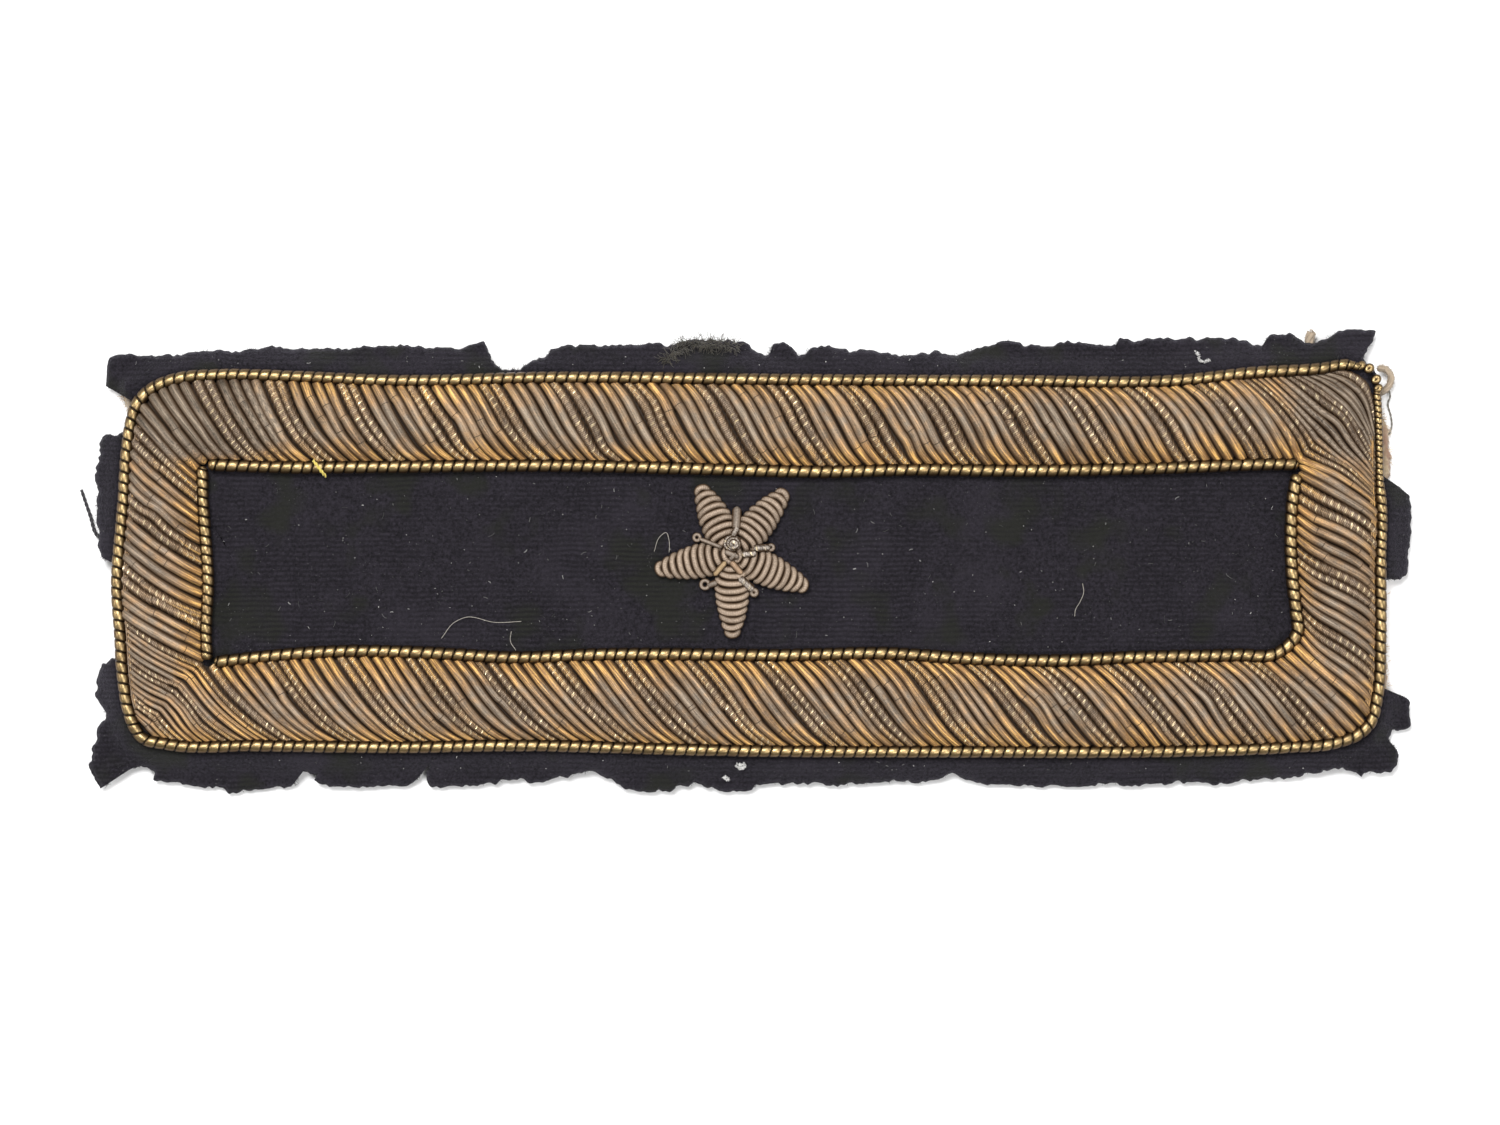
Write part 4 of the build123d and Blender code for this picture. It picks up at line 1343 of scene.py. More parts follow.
def lay_threads(side, sizes, material, checked):
    """The checked or the smooth threads of one side of the border, as one piece.

    A smooth thread narrows at its ends by an S curve, and a checked one is a little thicker.
    """
    rows = CHECKED_ROWS if checked else SMOOTH_ROWS
    parts = [
        course_threads(course, rows, checked, sizes.thread_diameter / 2, 100 + 20 * number)
        for number, course in enumerate([*COURSES, *CORNERS]) if course.side == side
    ]
    paths, radius = (np.concatenate([part[item] for part in parts]) for item in (0, 1))
    values = {key: np.concatenate([part[2][key] for part in parts]) for key in parts[0][2]}
    if checked:
        name = f"border_checked_threads_{side}"
        size, twist = check_section(paths, values, 1.04 * radius[..., None], sizes.check_twist)
    else:
        name = f"border_threads_{side}"
        t = np.linspace(0, 1, rows)
        narrowed = 0.7 + 0.3 * ease(-0.02, 0.05, np.minimum(t, 1 - t))
        size, twist = (radius * narrowed)[..., None], 0.0
    return make_threads(name, paths, size, 8, material, values, twist, checked)


def lay_ends(material, rows=120):
    """Thread ends turned down along the inside of the outer cord, at both short sides."""
    paths = []
    for first, last in TURNED_ENDS:
        for number, (inside, lift) in enumerate(((0.58, 0.62), (0.74, 0.72), (0.90, 0.80))):
            line = beside(OUTER_LINE, inside * MM)
            total = lengths_along(line)[-1]
            start, end = (place_on(line, np.array(place) * MM) for place in (first, last))
            end += total if end < start else 0
            place = np.linspace(start, end, rows)
            lift = lift + 0.06 * wander(place, 1.9 * MM, 90 + number)
            height = STITCHED_BOTTOM + lift * MM
            paths.append(np.column_stack([line_at(line, place % total), height]))
    paths = np.array(paths)
    radius = (0.085 * MM * (1 + 0.4 * wander(np.arange(rows), 5.0, 95)))[None, :, None]
    values = plain_values(paths, 0.5, [0.9, 0.7, 0.6, 0.3, 0.5, 0.2])
    return make_threads("border_thread_ends", paths, radius, 6, material, values)


# Cords

# One turn of a cord's coil, row by row: the row's place in the turn, its radius as a share and how
# far down in the groove it lies.
COIL_TURN = np.array([
    (0.00, 0.79, 1.00), (0.07, 0.93, 0.55), (0.19, 0.99, 0.10), (0.50, 1.00, 0.00),
    (0.81, 0.99, 0.10), (0.93, 0.93, 0.55),
])
COIL_SIDES = 12


def opened(line, joint, gap):
    """A closed line cut open at its point nearest to a joint, with a gap there."""
    start = place_on(line, joint)
    total = lengths_along(line)[-1]
    return line_at(line, (start + np.linspace(gap / 2, total - gap / 2, len(line))) % total)


def outer_fineness(x, y):
    """The outer cord's thickness share: finer at the upper right corner."""
    right = 0.22 * ease(5.5 * MM, 7 * MM, y) * (x > 50 * MM)
    top = 0.10 * ease(47 * MM, 50 * MM, x) * (y > 0)
    return 1 - right - top


def inner_fineness(x, y):
    """The inner cord's thickness share: a little finer at the left side."""
    return 1 - 0.06 * ease(-45.0 * MM, -45.3 * MM, x) * (np.abs(y) < 7.9 * MM)


def coil_cord(name, line, diameter, pitch, fineness, material, replaces, seed):
    """A close coil of wire wound round a cord, on a sheared grid.

    Rows go along the cord, six to a turn, and columns round it. A point's turn number is its row's
    less its share of the turn round, so the rows wind as the wire does, and after one turn round
    the last column meets the row one turn back. Turn numbers grow along the cord by its length over
    the pitch, faster where the cord is finer. The radius over one turn is domed, with a narrow
    groove between turns. fineness gives the cord's thickness share at a place.
    """
    phase, dome, dark = COIL_TURN.T
    rows_a_turn, sides = len(COIL_TURN), COIL_SIDES
    run = lengths_along(line)
    fine = fineness(line[:, 0], line[:, 1])
    pace = 1 / (pitch * fine**1.6)
    count = np.concatenate([[0.0], np.cumsum(np.diff(run) * (pace[1:] + pace[:-1]) / 2)])
    turns = round(count[-1])
    count *= turns / count[-1]
    row = np.arange((turns + 1) * rows_a_turn + 1)
    in_turn = row % rows_a_turn
    round_share = (np.arange(sides) / sides)[None]
    turn = np.clip((row // rows_a_turn + phase[in_turn])[:, None] - round_share, 0, turns)
    uneven = 0.06 * wander(turn, 1.4, seed) * ease(0, 1, turn) * ease(turns, turns - 1, turn)
    place = np.interp(turn + uneven, count, run)
    x, y = np.moveaxis(line_at(line, place), -1, 0)
    slopes = np.gradient(line, axis=0)
    ahead = np.stack([np.interp(place, run, slopes[:, axis]) for axis in (0, 1)], axis=-1)
    ahead /= np.linalg.norm(ahead, axis=2, keepdims=True)
    angle = FULL_TURN * round_share
    to_end = np.minimum(place, run[-1] - place) / (0.30 * MM)
    size = diameter / 2 * np.interp(place, run, fine) * dome[in_turn][:, None]
    size = size * (1 + 0.035 * wander(turn, 1.0, seed + 1))
    size = size * (0.55 + 0.45 * np.sqrt(ease(0, 1, to_end)))
    side_x = size * np.cos(angle)
    middle = STITCHED_BOTTOM + diameter / 2 + 0.03 * MM * wander(turn, 7.0, seed + 2)
    points = np.stack([
        x - ahead[..., 1] * side_x, y + ahead[..., 0] * side_x, middle + size * np.sin(angle),
    ], axis=2)

    here = np.arange(len(row) - 1)[:, None] * sides + np.arange(sides - 1)[None]
    quads = np.stack([here, here + 1, here + 1 + sides, here + sides], axis=-1).reshape(-1, 4)
    last = np.arange(len(row) - 1) * sides + sides - 1
    back = np.maximum(np.arange(len(row)) - rows_a_turn, 0) * sides
    seam = np.stack([last, back[:-1], back[1:], last + sides], axis=-1)
    ends = [list(range(sides))[::-1], [(len(row) - 1) * sides + side for side in range(sides)]]
    number = np.floor(turn + round_share)
    values = {
        "groove": np.broadcast_to(dark[in_turn][:, None], turn.shape).ravel(),
        "tone": np.clip(0.5 + 0.5 * wander(number, 1.0, seed + 3), 0, 1).ravel(),
        "low": np.broadcast_to(1 - np.sin(angle), turn.shape).ravel(),
    }
    faces = quads.tolist() + seam.tolist() + ends
    return make_piece(name, points, faces, material, values, True, replaces=replaces)


def loose_turns(material):
    """Turns of wire that came loose at the open end of the outer cord: small leaning rings."""
    turn = np.linspace(0, FULL_TURN * 1.02, 25)
    paths = np.array([
        np.stack([
            x * TWELFTH + radius * 0.42 * MM * np.cos(turn) + 0.06 * MM * np.sin(turn),
            y * TWELFTH + radius * 0.46 * MM * np.sin(turn),
            STITCHED_BOTTOM + 0.50 * MM + 0.08 * MM * np.cos(turn),
        ], axis=1)
        for x, y, radius in LOOSE_TURNS
    ])
    return make_threads(
        "outer_cord_loose_turns", paths, 0.23 * MM, 8, material,
        {"groove": 0.15, "tone": 0.6},
    )


# Star

# How far a ray's threads and its padding start before the solid's foot.
RAY_THREADS_BACK = 0.80 * MM
RAY_PAD_BACK = 0.95 * MM
# How far the middle of a ray's thread is bowed towards the tip, where the ray is widest.
RAY_BOW = 0.42 * MM
# How far a ray's padding stays inside its outline on each side, and under its top.
RAY_PAD_INSET = 0.28 * MM
RAY_PAD_DEPTH = 0.42 * MM


def ray_profile(share):
    """A ray's width and height at a share of its length, between the rows of its outline."""
    places, widths, heights = RAY_OUTLINE.T
    return np.interp(share, places, widths), np.interp(share, places, heights)


def ray_axes(ray):
    """The unit vectors along a ray and across it."""
    bearing = math.radians(ray.bearing)
    ahead = np.array((math.cos(bearing), math.sin(bearing)))
    return ahead, np.array((-ahead[1], ahead[0]))


def ray_paths(ray, radius, seed):
    """The bowed threads across one ray.

    A thread is an arch over the ray: a power of the sine of its angle gives the place across, a
    power of the cosine the height, and the cosine how far its middle is drawn towards the tip.
    """
    rng = np.random.default_rng(seed)
    ahead, aside = ray_axes(ray)
    start = RAY_START - RAY_THREADS_BACK
    length = STAR_RADIUS * ray.reach - start
    share = (np.arange(ray.threads) + 0.5 + rng.uniform(-0.05, 0.05, ray.threads)) / ray.threads
    width, high = ray_profile(share)
    arch = np.radians(np.linspace(-90, 90, 23))
    bent = np.sign(arch) * np.abs(np.sin(arch)) ** 0.9
    half = (width * RAY_WIDTH / 2 - radius * 0.6)[:, None] * bent
    rise = np.cos(arch) ** 0.62
    bow = (RAY_BOW * between(0.7, 1.0, width))[:, None] * (np.cos(arch) - 0.5)
    tilt = (rng.uniform(-0.06, 0.06, ray.threads)[:, None] * np.sin(arch)) * MM
    out = start + (share * length)[:, None] - 0.05 * MM + bow + tilt
    plan = STAR_CENTRE + out[..., None] * ahead + half[..., None] * aside
    foot = 0.10 * MM
    height = STITCHED_BOTTOM + foot + (high * RAY_HEIGHT - radius - foot)[:, None] * rise
    return np.concatenate([plan, height[..., None]], axis=2)


def ray_pad(ray, material, rows=24):
    """The padding of one ray: a leaf of arched sections, closed underneath, below its threads."""
    ahead, aside = ray_axes(ray)
    length = STAR_RADIUS * ray.reach - RAY_START + RAY_PAD_BACK
    share = np.linspace(0, 0.97, rows)
    width, high = ray_profile(share)
    arch = np.radians(np.linspace(-90, 90, 13))
    across = np.array([*np.sin(arch), 0.5, -0.5])
    up = np.array([*np.cos(arch), 0.0, 0.0])
    half = across * (width * RAY_WIDTH / 2 - RAY_PAD_INSET)[:, None]
    rise = up * (high * RAY_HEIGHT - RAY_PAD_DEPTH)[:, None]
    out = (RAY_START - RAY_PAD_BACK + share * length)[:, None, None]
    plan = STAR_CENTRE + out * ahead + half[..., None] * aside
    points = np.concatenate([plan, (STITCHED_BOTTOM + rise)[..., None]], axis=2)
    return make_piece(
        f"star_padding_{ray.name}", points, tube_faces(1, rows, len(across)), material,
        weld=True, replaces=[f"star_ray_{ray.name}"],
    )


def snip_path(snip, rows):
    """A short arched piece of thread: straight in plan, its height eased from end to end."""
    t = np.linspace(0, 1, rows)
    x, y = between(snip.x0, snip.x1, t) * TWELFTH, between(snip.y0, snip.y1, t) * TWELFTH
    lift = between(snip.low, snip.high, ease(0, 1, t)) + 0.12 * np.sin(np.pi * t)
    return np.stack([x, y, STITCHED_BOTTOM + lift * MM], axis=1)


def knot_path(rows, turns=2.3):
    """The knot's thread: a rising spiral, drawn in at its top, with its turns a little tilted."""
    t = np.linspace(0, 1, rows)
    turn = FULL_TURN * turns * t + 0.6
    radius = (between(0.58, 0.12, t**1.2) + 0.09 * np.sin(5.3 * t * np.pi)) * MM
    x, y = np.array(KNOT_PLACE) * TWELFTH
    height = STITCHED_BOTTOM + between(0.95, 1.50, t) * MM + 0.20 * MM * np.sin(turn + 0.8)
    return np.stack([x + radius * np.cos(turn), y + 0.9 * radius * np.sin(turn), height], axis=1)


def work_ray(ray, number, radius, material, pad_material):
    """One ray of the star: its padding and the threads over it."""
    ray_pad(ray, pad_material)
    paths = ray_paths(ray, radius, 200 + number)
    rng = np.random.default_rng(230 + number)
    tone, copper = rng.uniform(0.45, 1.0, len(paths)), rng.uniform(-0.1, 0.35, len(paths))
    make_threads(
        f"star_threads_{ray.name}", paths, radius, 9, material,
        plain_values(paths, tone, copper),
    )


def sew_snip(snip, number, quarter, material):
    """One short piece of thread with blunt ends. The first ones stand for the star's spokes."""
    checked = snip.kind == "check"
    paths = snip_path(snip, 44 if checked else 14)[None]
    values = plain_values(paths, snip.tone, 1.0 if snip.kind in ("copper", "gold") else 0.1)
    t = np.linspace(0, 1, paths.shape[1])
    blunt = np.sqrt(np.clip(np.minimum(t, 1 - t) / 0.14, 0.06, 1))
    size, twist = (snip.radius * MM * blunt)[None, :, None], 0.0
    if checked:
        size, twist = check_section(paths, values, size, quarter)
    piece = make_threads(
        f"star_snip_{number}", paths, size, 8, material, values, twist, checked
    )
    if number <= SPOKES:
        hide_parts(f"star_spoke_{number}")


def tie_knot(quarter, material):
    """The knot of checked thread in the middle of the star."""
    paths = knot_path(150)[None]
    values = plain_values(paths, 1.0, 0.0)
    size, twist = check_section(paths, values, 0.30 * MM, quarter)
    knot = make_threads(
        "star_knot", paths, size, 8, material, values, twist, True
    )
    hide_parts("star_centre")


def add_rings(material):
    """The open ends of coils, seen from above as rings."""
    turn = np.linspace(0, FULL_TURN * 1.03, 25)
    rings = np.array([
        np.stack([
            x * TWELFTH + ring * MM * np.cos(turn), y * TWELFTH + ring * MM * np.sin(turn),
            STITCHED_BOTTOM + (lift + 0.1 * np.cos(turn)) * MM,
        ], axis=1)
        for x, y, lift, ring, _ in RINGS
    ])
    wire = np.array([row[-1] for row in RINGS])[:, None, None] * MM
    values = plain_values(rings, 0.7, 0.3)
    make_threads("star_rings", rings, wire, 8, material, values)


# Loose threads

# A loose fibre's radius, and how high over the wool what lies on it is.
FIBRE_RADIUS = 0.022 * MM
ON_WOOL = CLOTH_TOP / MM + 0.06

# Routes are in twelfths in the plane and in millimetres in height. Other lengths here are in
# millimetres. A tuft is a yarn of some plies, each of which makes a turn in its length, with a fuzz
# of fibres spread round it.
Tuft = namedtuple("Tuft", "name radius plies turn rows spread fibres length seed route")
TUFTS = [
    Tuft("tan_tuft_corner", 0.24, 5, 5, 60, 0.20, 1200, 0.20, 81, (
        (632, 195, 1.0), (638, 194, 1.3), (643, 188, 1.25), (643, 180, 1.0), (638, 173, 0.8),
        (632, 170, 0.6),
    )),
    Tuft("tan_tuft_left", 0.30, 4, 4, 60, 0.28, 900, 0.18, 85, (
        (-606, 180, 0.8), (-615, 176, 1.0), (-621, 168, 1.05), (-622, 158, 0.95), (-619, 149, 0.8),
        (-618, 142, 0.6),
    )),
    Tuft("tan_tuft_top", 0.34, 4, 4, 24, 0.28, 600, 0.22, 83, (
        (563, 216, 0.6), (562, 224, 0.9), (564, 231, 1.0),
    )),
]
# A yarn of two plies: its fibre, its slot, its radius, the length of its turn, its rows and route.
Yarn = namedtuple("Yarn", "name fibre slot radius turn rows route")
YARNS = [
    Yarn("dark_yarn", "dark", "navy_wool", 0.15, 0.9, 60, (
        (-648, 22, 0.7), (-656, 27, 0.6), (-664, 47, 0.3), (-669, 61, 0.25), (-673, 73, 0.25),
    )),
    Yarn("grey_thread", "grey", "tan_cotton", 0.08, 0.8, 60, (
        (641, 176, 0.7), (644, 168, 0.5), (642, 160, 0.3), (645, 148, 0.3), (646, 138, 0.3),
        (643, 128, 0.4),
    )),
    Yarn("yellow_stitch", "yellow", "gold_cord", 0.13, 0.8, 24, (
        (-436, 102, 3.25), (-432, 97, 3.42), (-427, 90, 3.30), (-424, 86, 2.9),
    )),
]
# Fluff on the wool. Its heights, like those of the hairs, are counted from the wool's upper face.
Fluff = namedtuple("Fluff", "name fibre spread fibres length seed route")
FLUFFS = [
    Fluff("edge_fluff", "olive", 0.34, 420, 0.75, 140, (
        (-86, 203, -0.1), (-72, 213, 0), (-56, 220, -0.1), (-38, 219, -0.1), (-14, 217, -0.3),
    )),
    Fluff("torn_threads_top", "white", 0.045, 110, 0.15, 142, (
        (446, 212, 0), (449, 208, 0), (450, 203, 0), (454, 201, 0), (460, 203, 0),
    )),
    Fluff("torn_threads_bottom", "white", 0.14, 130, 0.20, 144, (
        (-12, -203, 0), (-9, -205, 0), (-6, -203, 0),
    )),
    Fluff("torn_threads_edge", "white", 0.08, 70, 0.16, 146, (
        (-26, -215, 0), (-24, -216, 0), (-22, -218, 0),
    )),
]
HAIRS = {
    "stray_hair_left": (
        (-309, -76, 0), (-296, -60, 0.2), (-285, -55, 0.2), (-255, -60, 0), (-229, -59, 0),
    ),
    "stray_hair_bottom": ((-239, -69, 0), (-240, -78, 0.1), (-234, -88, 0.5)),
    "stray_hair_star": ((-96, 11, 0), (-90, 26, 0.2), (-84, 30, 0.3), (-81, 22, 0.2), (-81, 10, 0)),
    "stray_hair_right": (
        (333, -21, 0), (334, -30, 0.1), (330, -40, 0.1), (326, -47, 0), (325, -54, 0),
    ),
}


def smooth_route(route, over=0.0):
    """The smooth line of a route whose heights are counted from over a height in millimetres."""
    units = np.array((TWELFTH, TWELFTH, MM))
    return smooth_line((np.array(route) + (0, 0, over)) * units, FINE_STEP)


def twisted_yarn(name, route, radius, plies, material, turn, rows):
    """A short loose yarn: plies wound round a smooth line, each a circle's share apart.

    The plies go round the line as the points of a tube do, and open and close a little.
    """
    line = smooth_route(route)
    place = np.linspace(0, lengths_along(line)[-1], rows)
    middle = line_at(line, place)
    level, upper = square_to(middle)
    angle = (FULL_TURN * place / turn)[None] + (FULL_TURN * np.arange(plies) / plies)[:, None]
    angle = angle[..., None]
    opening = radius * 0.55 * (1 + 0.25 * wander(place, 0.9 * MM, 71))[None, :, None]
    paths = middle[None] + opening * (np.cos(angle) * level + np.sin(angle) * upper)
    paths[..., 2] = np.maximum(paths[..., 2], radius * 0.55)
    return make_threads(name, paths, radius * 0.6, 6, material, {"tone": 0.5})


def tuft_fuzz(name, line, spread, count, length, material, seed):
    """Fibres that stand out all round a smooth line, at seeded places."""
    rng = np.random.default_rng(seed)
    spot = line_at(line, rng.uniform(0, 1, count) * lengths_along(line)[-1])
    way = rng.normal(0, 1, (count, 3)) * (1, 1, 0.5)
    way /= np.linalg.norm(way, axis=1)[:, None]
    roots = spot + way * spread * 0.8
    paths = fibres(roots, way, length * rng.uniform(0.3, 1.0, count), 0.9, seed + 1)
    paths[..., 2] = np.maximum(paths[..., 2], TABLE_GAP)
    values = {"tone": rng.uniform(0, 1, count)}
    return make_threads(name, paths, FIBRE_RADIUS, 3, material, values)


def loose_fibres(colours):
    """The finishes of the loose fibres and yarns."""
    soiled = np.array(colours.cotton) * (0.60, 0.61, 0.66)
    return {
        "tan": fibre_material("loose tan cotton", soiled, 0.4),
        "dark": fibre_material("dark yarn", (0.02, 0.018, 0.022), 0.5),
        "grey": fibre_material("grey thread", (0.16, 0.15, 0.13), 0.4),
        "pale": fibre_material("pale hair", (0.40, 0.37, 0.32), 0.4, 0.6),
        "yellow": fibre_material("yellow silk", (0.62, 0.50, 0.10), 0.3, 0.45),
        "olive": fibre_material("olive fluff", (0.055, 0.047, 0.032), 0.6),
        "white": fibre_material("torn white threads", colours.lint, 0.15),
    }


def add_loose_threads(colours):
    """The tan tufts, the loose yarns, the fluff and torn threads, and the stray hairs."""
    finish = loose_fibres(colours)
    for tuft in TUFTS:
        twisted_yarn(
            tuft.name, tuft.route, tuft.radius * MM, tuft.plies, finish["tan"],
            tuft.turn * MM, tuft.rows,
        )
        tuft_fuzz(
            f"{tuft.name}_fuzz", smooth_route(tuft.route), tuft.spread * MM, tuft.fibres,
            tuft.length * MM, finish["tan"], tuft.seed,
        )
    for yarn in YARNS:
        twisted_yarn(
            yarn.name, yarn.route, yarn.radius * MM, 2, finish[yarn.fibre],
            yarn.turn * MM, yarn.rows,
        )
    for fluff in FLUFFS:
        tuft_fuzz(
            fluff.name, smooth_route(fluff.route, ON_WOOL), fluff.spread * MM, fluff.fibres,
            fluff.length * MM, finish[fluff.fibre], fluff.seed,
        )
    for name, route in HAIRS.items():
        line = smooth_route(route, ON_WOOL)
        paths = line_at(line, np.linspace(0, lengths_along(line)[-1], 40))[None]
        make_threads(name, paths, FIBRE_RADIUS, 5, finish["pale"], {"tone": 0.5})


# Stage

# Name, place, size and power of each lamp. They all point at the strap's middle.
LAMPS = [
    ("key_light", (-0.10, 0.20, 0.50), 0.22, 3.1),
    ("fill_light", (0.16, -0.14, 0.52), 0.20, 1.3),
    ("left_light", (-0.42, 0.02, 0.24), 0.14, 0.5),
    ("right_light", (0.42, 0.06, 0.22), 0.14, 0.5),
]
SKY_STRENGTH = 0.20
TABLE_HALF = 0.6
# The width of the picture in a level plane through the border, and how high that plane lies.
PICTURE_WIDTH = 125 * MM
PICTURE_LEVEL = 2.6 * MM


def set_table():
    """The white table."""
    half = TABLE_HALF
    mesh = bpy.data.meshes.new("white_paper")
    mesh.from_pydata(
        [(-half, -half, 0), (half, -half, 0), (half, half, 0), (-half, half, 0)], [], [(0, 1, 2, 3)]
    )
    mesh.materials.append(floor_material())
    table = bpy.data.objects.new("white_paper", mesh)
    bpy.context.scene.collection.objects.link(table)


def set_lights():
    """Soft round lamps and a weak white sky."""
    scene = bpy.context.scene
    sky = bpy.data.worlds.new("studio")
    sky.use_nodes = True
    background = sky.node_tree.nodes["Background"]
    background.inputs["Color"].default_value = (1.0, 1.0, 1.0, 1.0)
    background.inputs["Strength"].default_value = SKY_STRENGTH
    scene.world = sky
    for name, place, size, power in LAMPS:
        light = bpy.data.lights.new(name, "AREA")
        light.shape, light.size, light.energy = "DISK", size, power
        lamp = bpy.data.objects.new(name, light)
        scene.collection.objects.link(lamp)
        lamp.location = place
        lamp.rotation_euler = (-Vector(place)).to_track_quat("-Z", "Y").to_euler()


def set_camera():
    """The camera, which looks straight down."""
    scene = bpy.context.scene
    camera = bpy.data.cameras.new("straight_down")
    camera.lens, camera.sensor_width = 100.0, 36.0
    camera.clip_start, camera.clip_end = 0.01, 10.0
    view = bpy.data.objects.new("straight_down", camera)
    scene.collection.objects.link(view)
    distance = PICTURE_WIDTH * camera.lens / camera.sensor_width
    view.location = (0.0, 0.0, distance + PICTURE_LEVEL)
    scene.camera = view
    scene.view_settings.view_transform = "Standard"
    scene.view_settings.look = "None"


# Settings and operators


def length_property(name, description, default, most):
    """A length that a user may change, from a tenth of a millimetre up to so many."""
    return bpy.props.FloatProperty(
        name=name, description=description, default=default * MM, min=0.1 * MM, max=most * MM,
        unit="LENGTH", precision=5,
    )


def colour_property(name, description, default):
    """A colour that a user may change."""
    return bpy.props.FloatVectorProperty(
        name=name, description=description, default=default, size=3, min=0.0, max=1.0,
        subtype="COLOR",
    )


class StrapSizes(bpy.types.PropertyGroup):
    """Sizes of the threads and cords."""

    thread_diameter: length_property(
        "Border thread", "Diameter of the coiled thread over the border", 0.95, 3
    )
    star_thread_diameter: length_property(
        "Star thread", "Diameter of the coiled thread over the star's rays", 0.60, 3
    )
    check_twist: length_property(
        "Check length", "Length over which a checked thread's section makes a quarter turn", 0.62, 5
    )
    outer_cord_diameter: length_property(
        "Outer cord", "Diameter of the coil round the strap", 1.04, 4
    )
    inner_cord_diameter: length_property(
        "Inner cord", "Diameter of the coil round the window", 1.12, 4
    )
    outer_cord_pitch: length_property(
        "Outer turn", "Length of one turn of the outer cord's wire", 0.883, 4
    )
    inner_cord_pitch: length_property(
        "Inner turn", "Length of one turn of the inner cord's wire", 0.90, 4
    )


class StrapColours(bpy.types.PropertyGroup):
    """Colours of the cloth and the metal."""

    wool: colour_property("Wool", "Navy wool ground", (0.0128, 0.0110, 0.0148))
    cotton: colour_property("Cotton", "Tan cotton backing and tufts", (0.58, 0.45, 0.30))
    cord: colour_property("Cord", "Gilt wire of the two cords", (0.40, 0.288, 0.135))
    copper: colour_property(
        "Copper", "Border thread where the gilding has gone", (0.465, 0.250, 0.094)
    )
    grey_gilt: colour_property(
        "Grey gilt", "Border thread where it is tarnished", (0.268, 0.209, 0.152)
    )
    silver: colour_property("Silver", "Tarnished silver thread of the star", (0.46, 0.352, 0.262))
    # Brown grime, and also the painted shade on the sides of threads and turns, in grooves, between
    # turns and on the padding.
    tarnish_and_shade: colour_property("Tarnish", "Brown grime in the grooves", (0.085, 0.048, 0.024))
    lint: colour_property("Lint", "Pale specks and hairs", (0.75, 0.74, 0.72))


class STRAP_OT_set_stage(bpy.types.Operator):
    """Set the table, the lights and the camera"""

    bl_idname = "strap.set_stage"
    bl_label = "Set Stage"

    def execute(self, context):
        set_table()
        set_lights()
        set_camera()
        return {"FINISHED"}


class STRAP_OT_lay_cloth(bpy.types.Operator):
    """Lay the cotton backing and the wool ground, with their frayed edges"""

    bl_idname = "strap.lay_cloth"
    bl_label = "Lay Cloth"

    def execute(self, context):
        colours = context.scene.strap_colours
        lay_cotton(colours)
        lay_wool(colours)
        fray_edge(
            "wool_fray", WOOL, 9400, lambda spot: wool_height(spot)[0] - 0.25 * MM, 0.27 * MM,
            0.015 * MM, fibre_material("wool fibre", colours.wool), 61,
        )
        fray_edge(
            "cotton_fray", COTTON, 3600, lambda spot: np.full(len(spot), 0.6 * MM), 0.5 * MM,
            0.024 * MM, fibre_material("cotton fibre", colours.cotton, 0.4), 65,
        )
        scatter_lint(colours)
        return {"FINISHED"}


class STRAP_OT_pad_border(bpy.types.Operator):
    """Lay the padding of the border's four sides"""

    bl_idname = "strap.pad_border"
    bl_label = "Pad Border"

    def execute(self, context):
        for side in BORDER_WIDTHS:
            pad_side(side, context.scene.strap_colours)
        return {"FINISHED"}


class STRAP_OT_lay_threads(bpy.types.Operator):
    """Lay the checked and smooth coiled threads over the padding"""

    bl_idname = "strap.lay_threads"
    bl_label = "Lay Border Threads"

    def execute(self, context):
        sizes, colours = context.scene.strap_sizes, context.scene.strap_colours
        smooth = bullion_material(
            "gilt thread", colours, colours.copper, colours.grey_gilt, GOLD_HIGHLIGHT
        )
        checked = bullion_material(
            "checked gilt thread", colours, *CHECKED_GILT, GOLD_HIGHLIGHT, metallic=0.3,
            ridge=0.15 * MM, valley_shade=0.6, glint_length=sizes.check_twist,
        )
        for side in BORDER_WIDTHS:
            lay_threads(side, sizes, smooth, False)
            lay_threads(side, sizes, checked, True)
        lay_ends(smooth)
        return {"FINISHED"}


class STRAP_OT_couch_cords(bpy.types.Operator):
    """Lay the outer and the inner cord along the border"""

    bl_idname = "strap.couch_cords"
    bl_label = "Couch Cords"

    def execute(self, context):
        sizes = context.scene.strap_sizes
        material = cord_material(context.scene.strap_colours)
        outer = cord_line(OUTER_CORD, HALF_LENGTH, HALF_WIDTH, CORD_STEP)
        coil_cord(
            "outer_cord_coil", opened(outer, OPEN_CORNER, 2.5 * MM), sizes.outer_cord_diameter,
            sizes.outer_cord_pitch, outer_fineness, material, ["outer_cord"], 301,
        )
        for number, (name, ends) in enumerate(INNER_RUNS.items()):
            coil_cord(
                f"inner_cord_{name}", inner_run(name, *ends), sizes.inner_cord_diameter,
                sizes.inner_cord_pitch, inner_fineness, material, ["inner_cord"], 311 + 4 * number,
            )
        loose_turns(material)
        return {"FINISHED"}


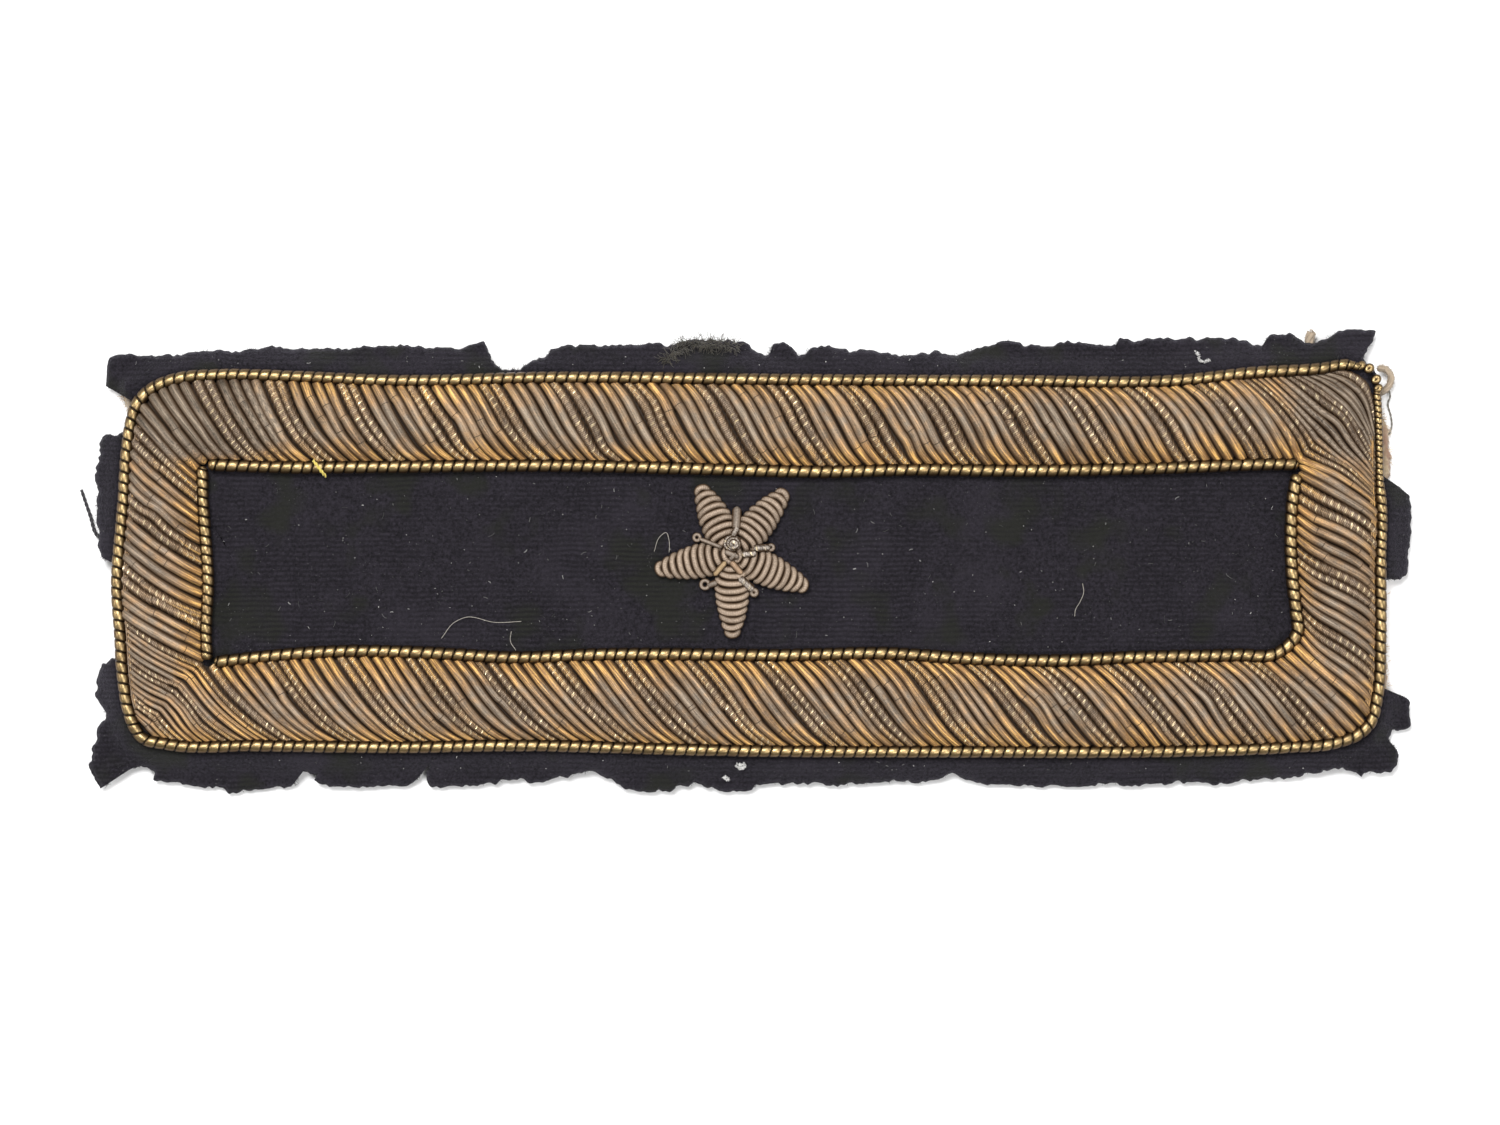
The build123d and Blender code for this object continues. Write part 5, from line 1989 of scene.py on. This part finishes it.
class STRAP_OT_work_star(bpy.types.Operator):
    """Work the star's rays, knot and short pieces of thread"""

    bl_idname = "strap.work_star"
    bl_label = "Work Star"

    def execute(self, context):
        sizes, colours = context.scene.strap_sizes, context.scene.strap_colours
        warm = tuple(1.02 * level for level in colours.silver)
        silver = bullion_material(
            "silver thread", colours, warm, colours.silver, metallic=0.1, ridge=0.13 * MM,
            valley_shade=0.25, streaks=0.25,
        )
        kinds = {
            "check": bullion_material(
                "checked silver thread", colours, *CHECKED_SILVER, metallic=0.6, ridge=0.15 * MM,
                valley_shade=0.5, glint_length=sizes.check_twist,
            ),
            "grey": bullion_material("greyed silver thread", colours, *GREYED_SILVER),
            "copper": bullion_material("copper thread", colours, *COPPER_SNIP),
            "gold": bullion_material("golden thread", colours, *GOLD_SNIP),
        }
        pad = shaded_padding_material(colours)
        for number, ray in enumerate(RAYS):
            work_ray(ray, number, sizes.star_thread_diameter / 2, silver, pad)
        for number, snip in enumerate(SNIPS, 1):
            sew_snip(snip, number, sizes.check_twist, kinds[snip.kind])
        tie_knot(sizes.check_twist, kinds["check"])
        add_rings(kinds["grey"])
        return {"FINISHED"}


class STRAP_OT_add_loose_threads(bpy.types.Operator):
    """Add the tufts, the loose yarn and the stray hairs"""

    bl_idname = "strap.add_loose_threads"
    bl_label = "Add Loose Threads"

    def execute(self, context):
        add_loose_threads(context.scene.strap_colours)
        return {"FINISHED"}


class VIEW3D_PT_strap(bpy.types.Panel):
    """The settings, and the steps in the order in which the strap is made"""

    bl_label = "Shoulder Strap"
    bl_space_type = "VIEW_3D"
    bl_region_type = "UI"
    bl_category = "Strap"

    def draw(self, context):
        scene = context.scene
        for group in (scene.strap_sizes, scene.strap_colours):
            box = self.layout.box()
            for key in group.__annotations__:
                box.prop(group, key)
        for operator in OPERATORS:
            self.layout.operator(operator.bl_idname)


OPERATORS = (
    STRAP_OT_set_stage, STRAP_OT_lay_cloth, STRAP_OT_pad_border, STRAP_OT_lay_threads,
    STRAP_OT_couch_cords, STRAP_OT_work_star, STRAP_OT_add_loose_threads,
)
CLASSES = (StrapSizes, StrapColours, *OPERATORS, VIEW3D_PT_strap)


def register():
    """Registers the classes and hangs the settings on the scene."""
    for kind in CLASSES:
        bpy.utils.register_class(kind)
    bpy.types.Scene.strap_sizes = bpy.props.PointerProperty(type=StrapSizes)
    bpy.types.Scene.strap_colours = bpy.props.PointerProperty(type=StrapColours)


def unregister():
    """Takes the settings and the classes away again."""
    del bpy.types.Scene.strap_colours
    del bpy.types.Scene.strap_sizes
    for kind in reversed(CLASSES):
        bpy.utils.unregister_class(kind)


def main():
    """Makes the strap step by step."""
    register()
    bpy.ops.strap.set_stage()
    bpy.ops.strap.lay_cloth()
    bpy.ops.strap.pad_border()
    bpy.ops.strap.lay_threads()
    bpy.ops.strap.couch_cords()
    bpy.ops.strap.work_star()
    bpy.ops.strap.add_loose_threads()


if __name__ == "__main__":
    main()
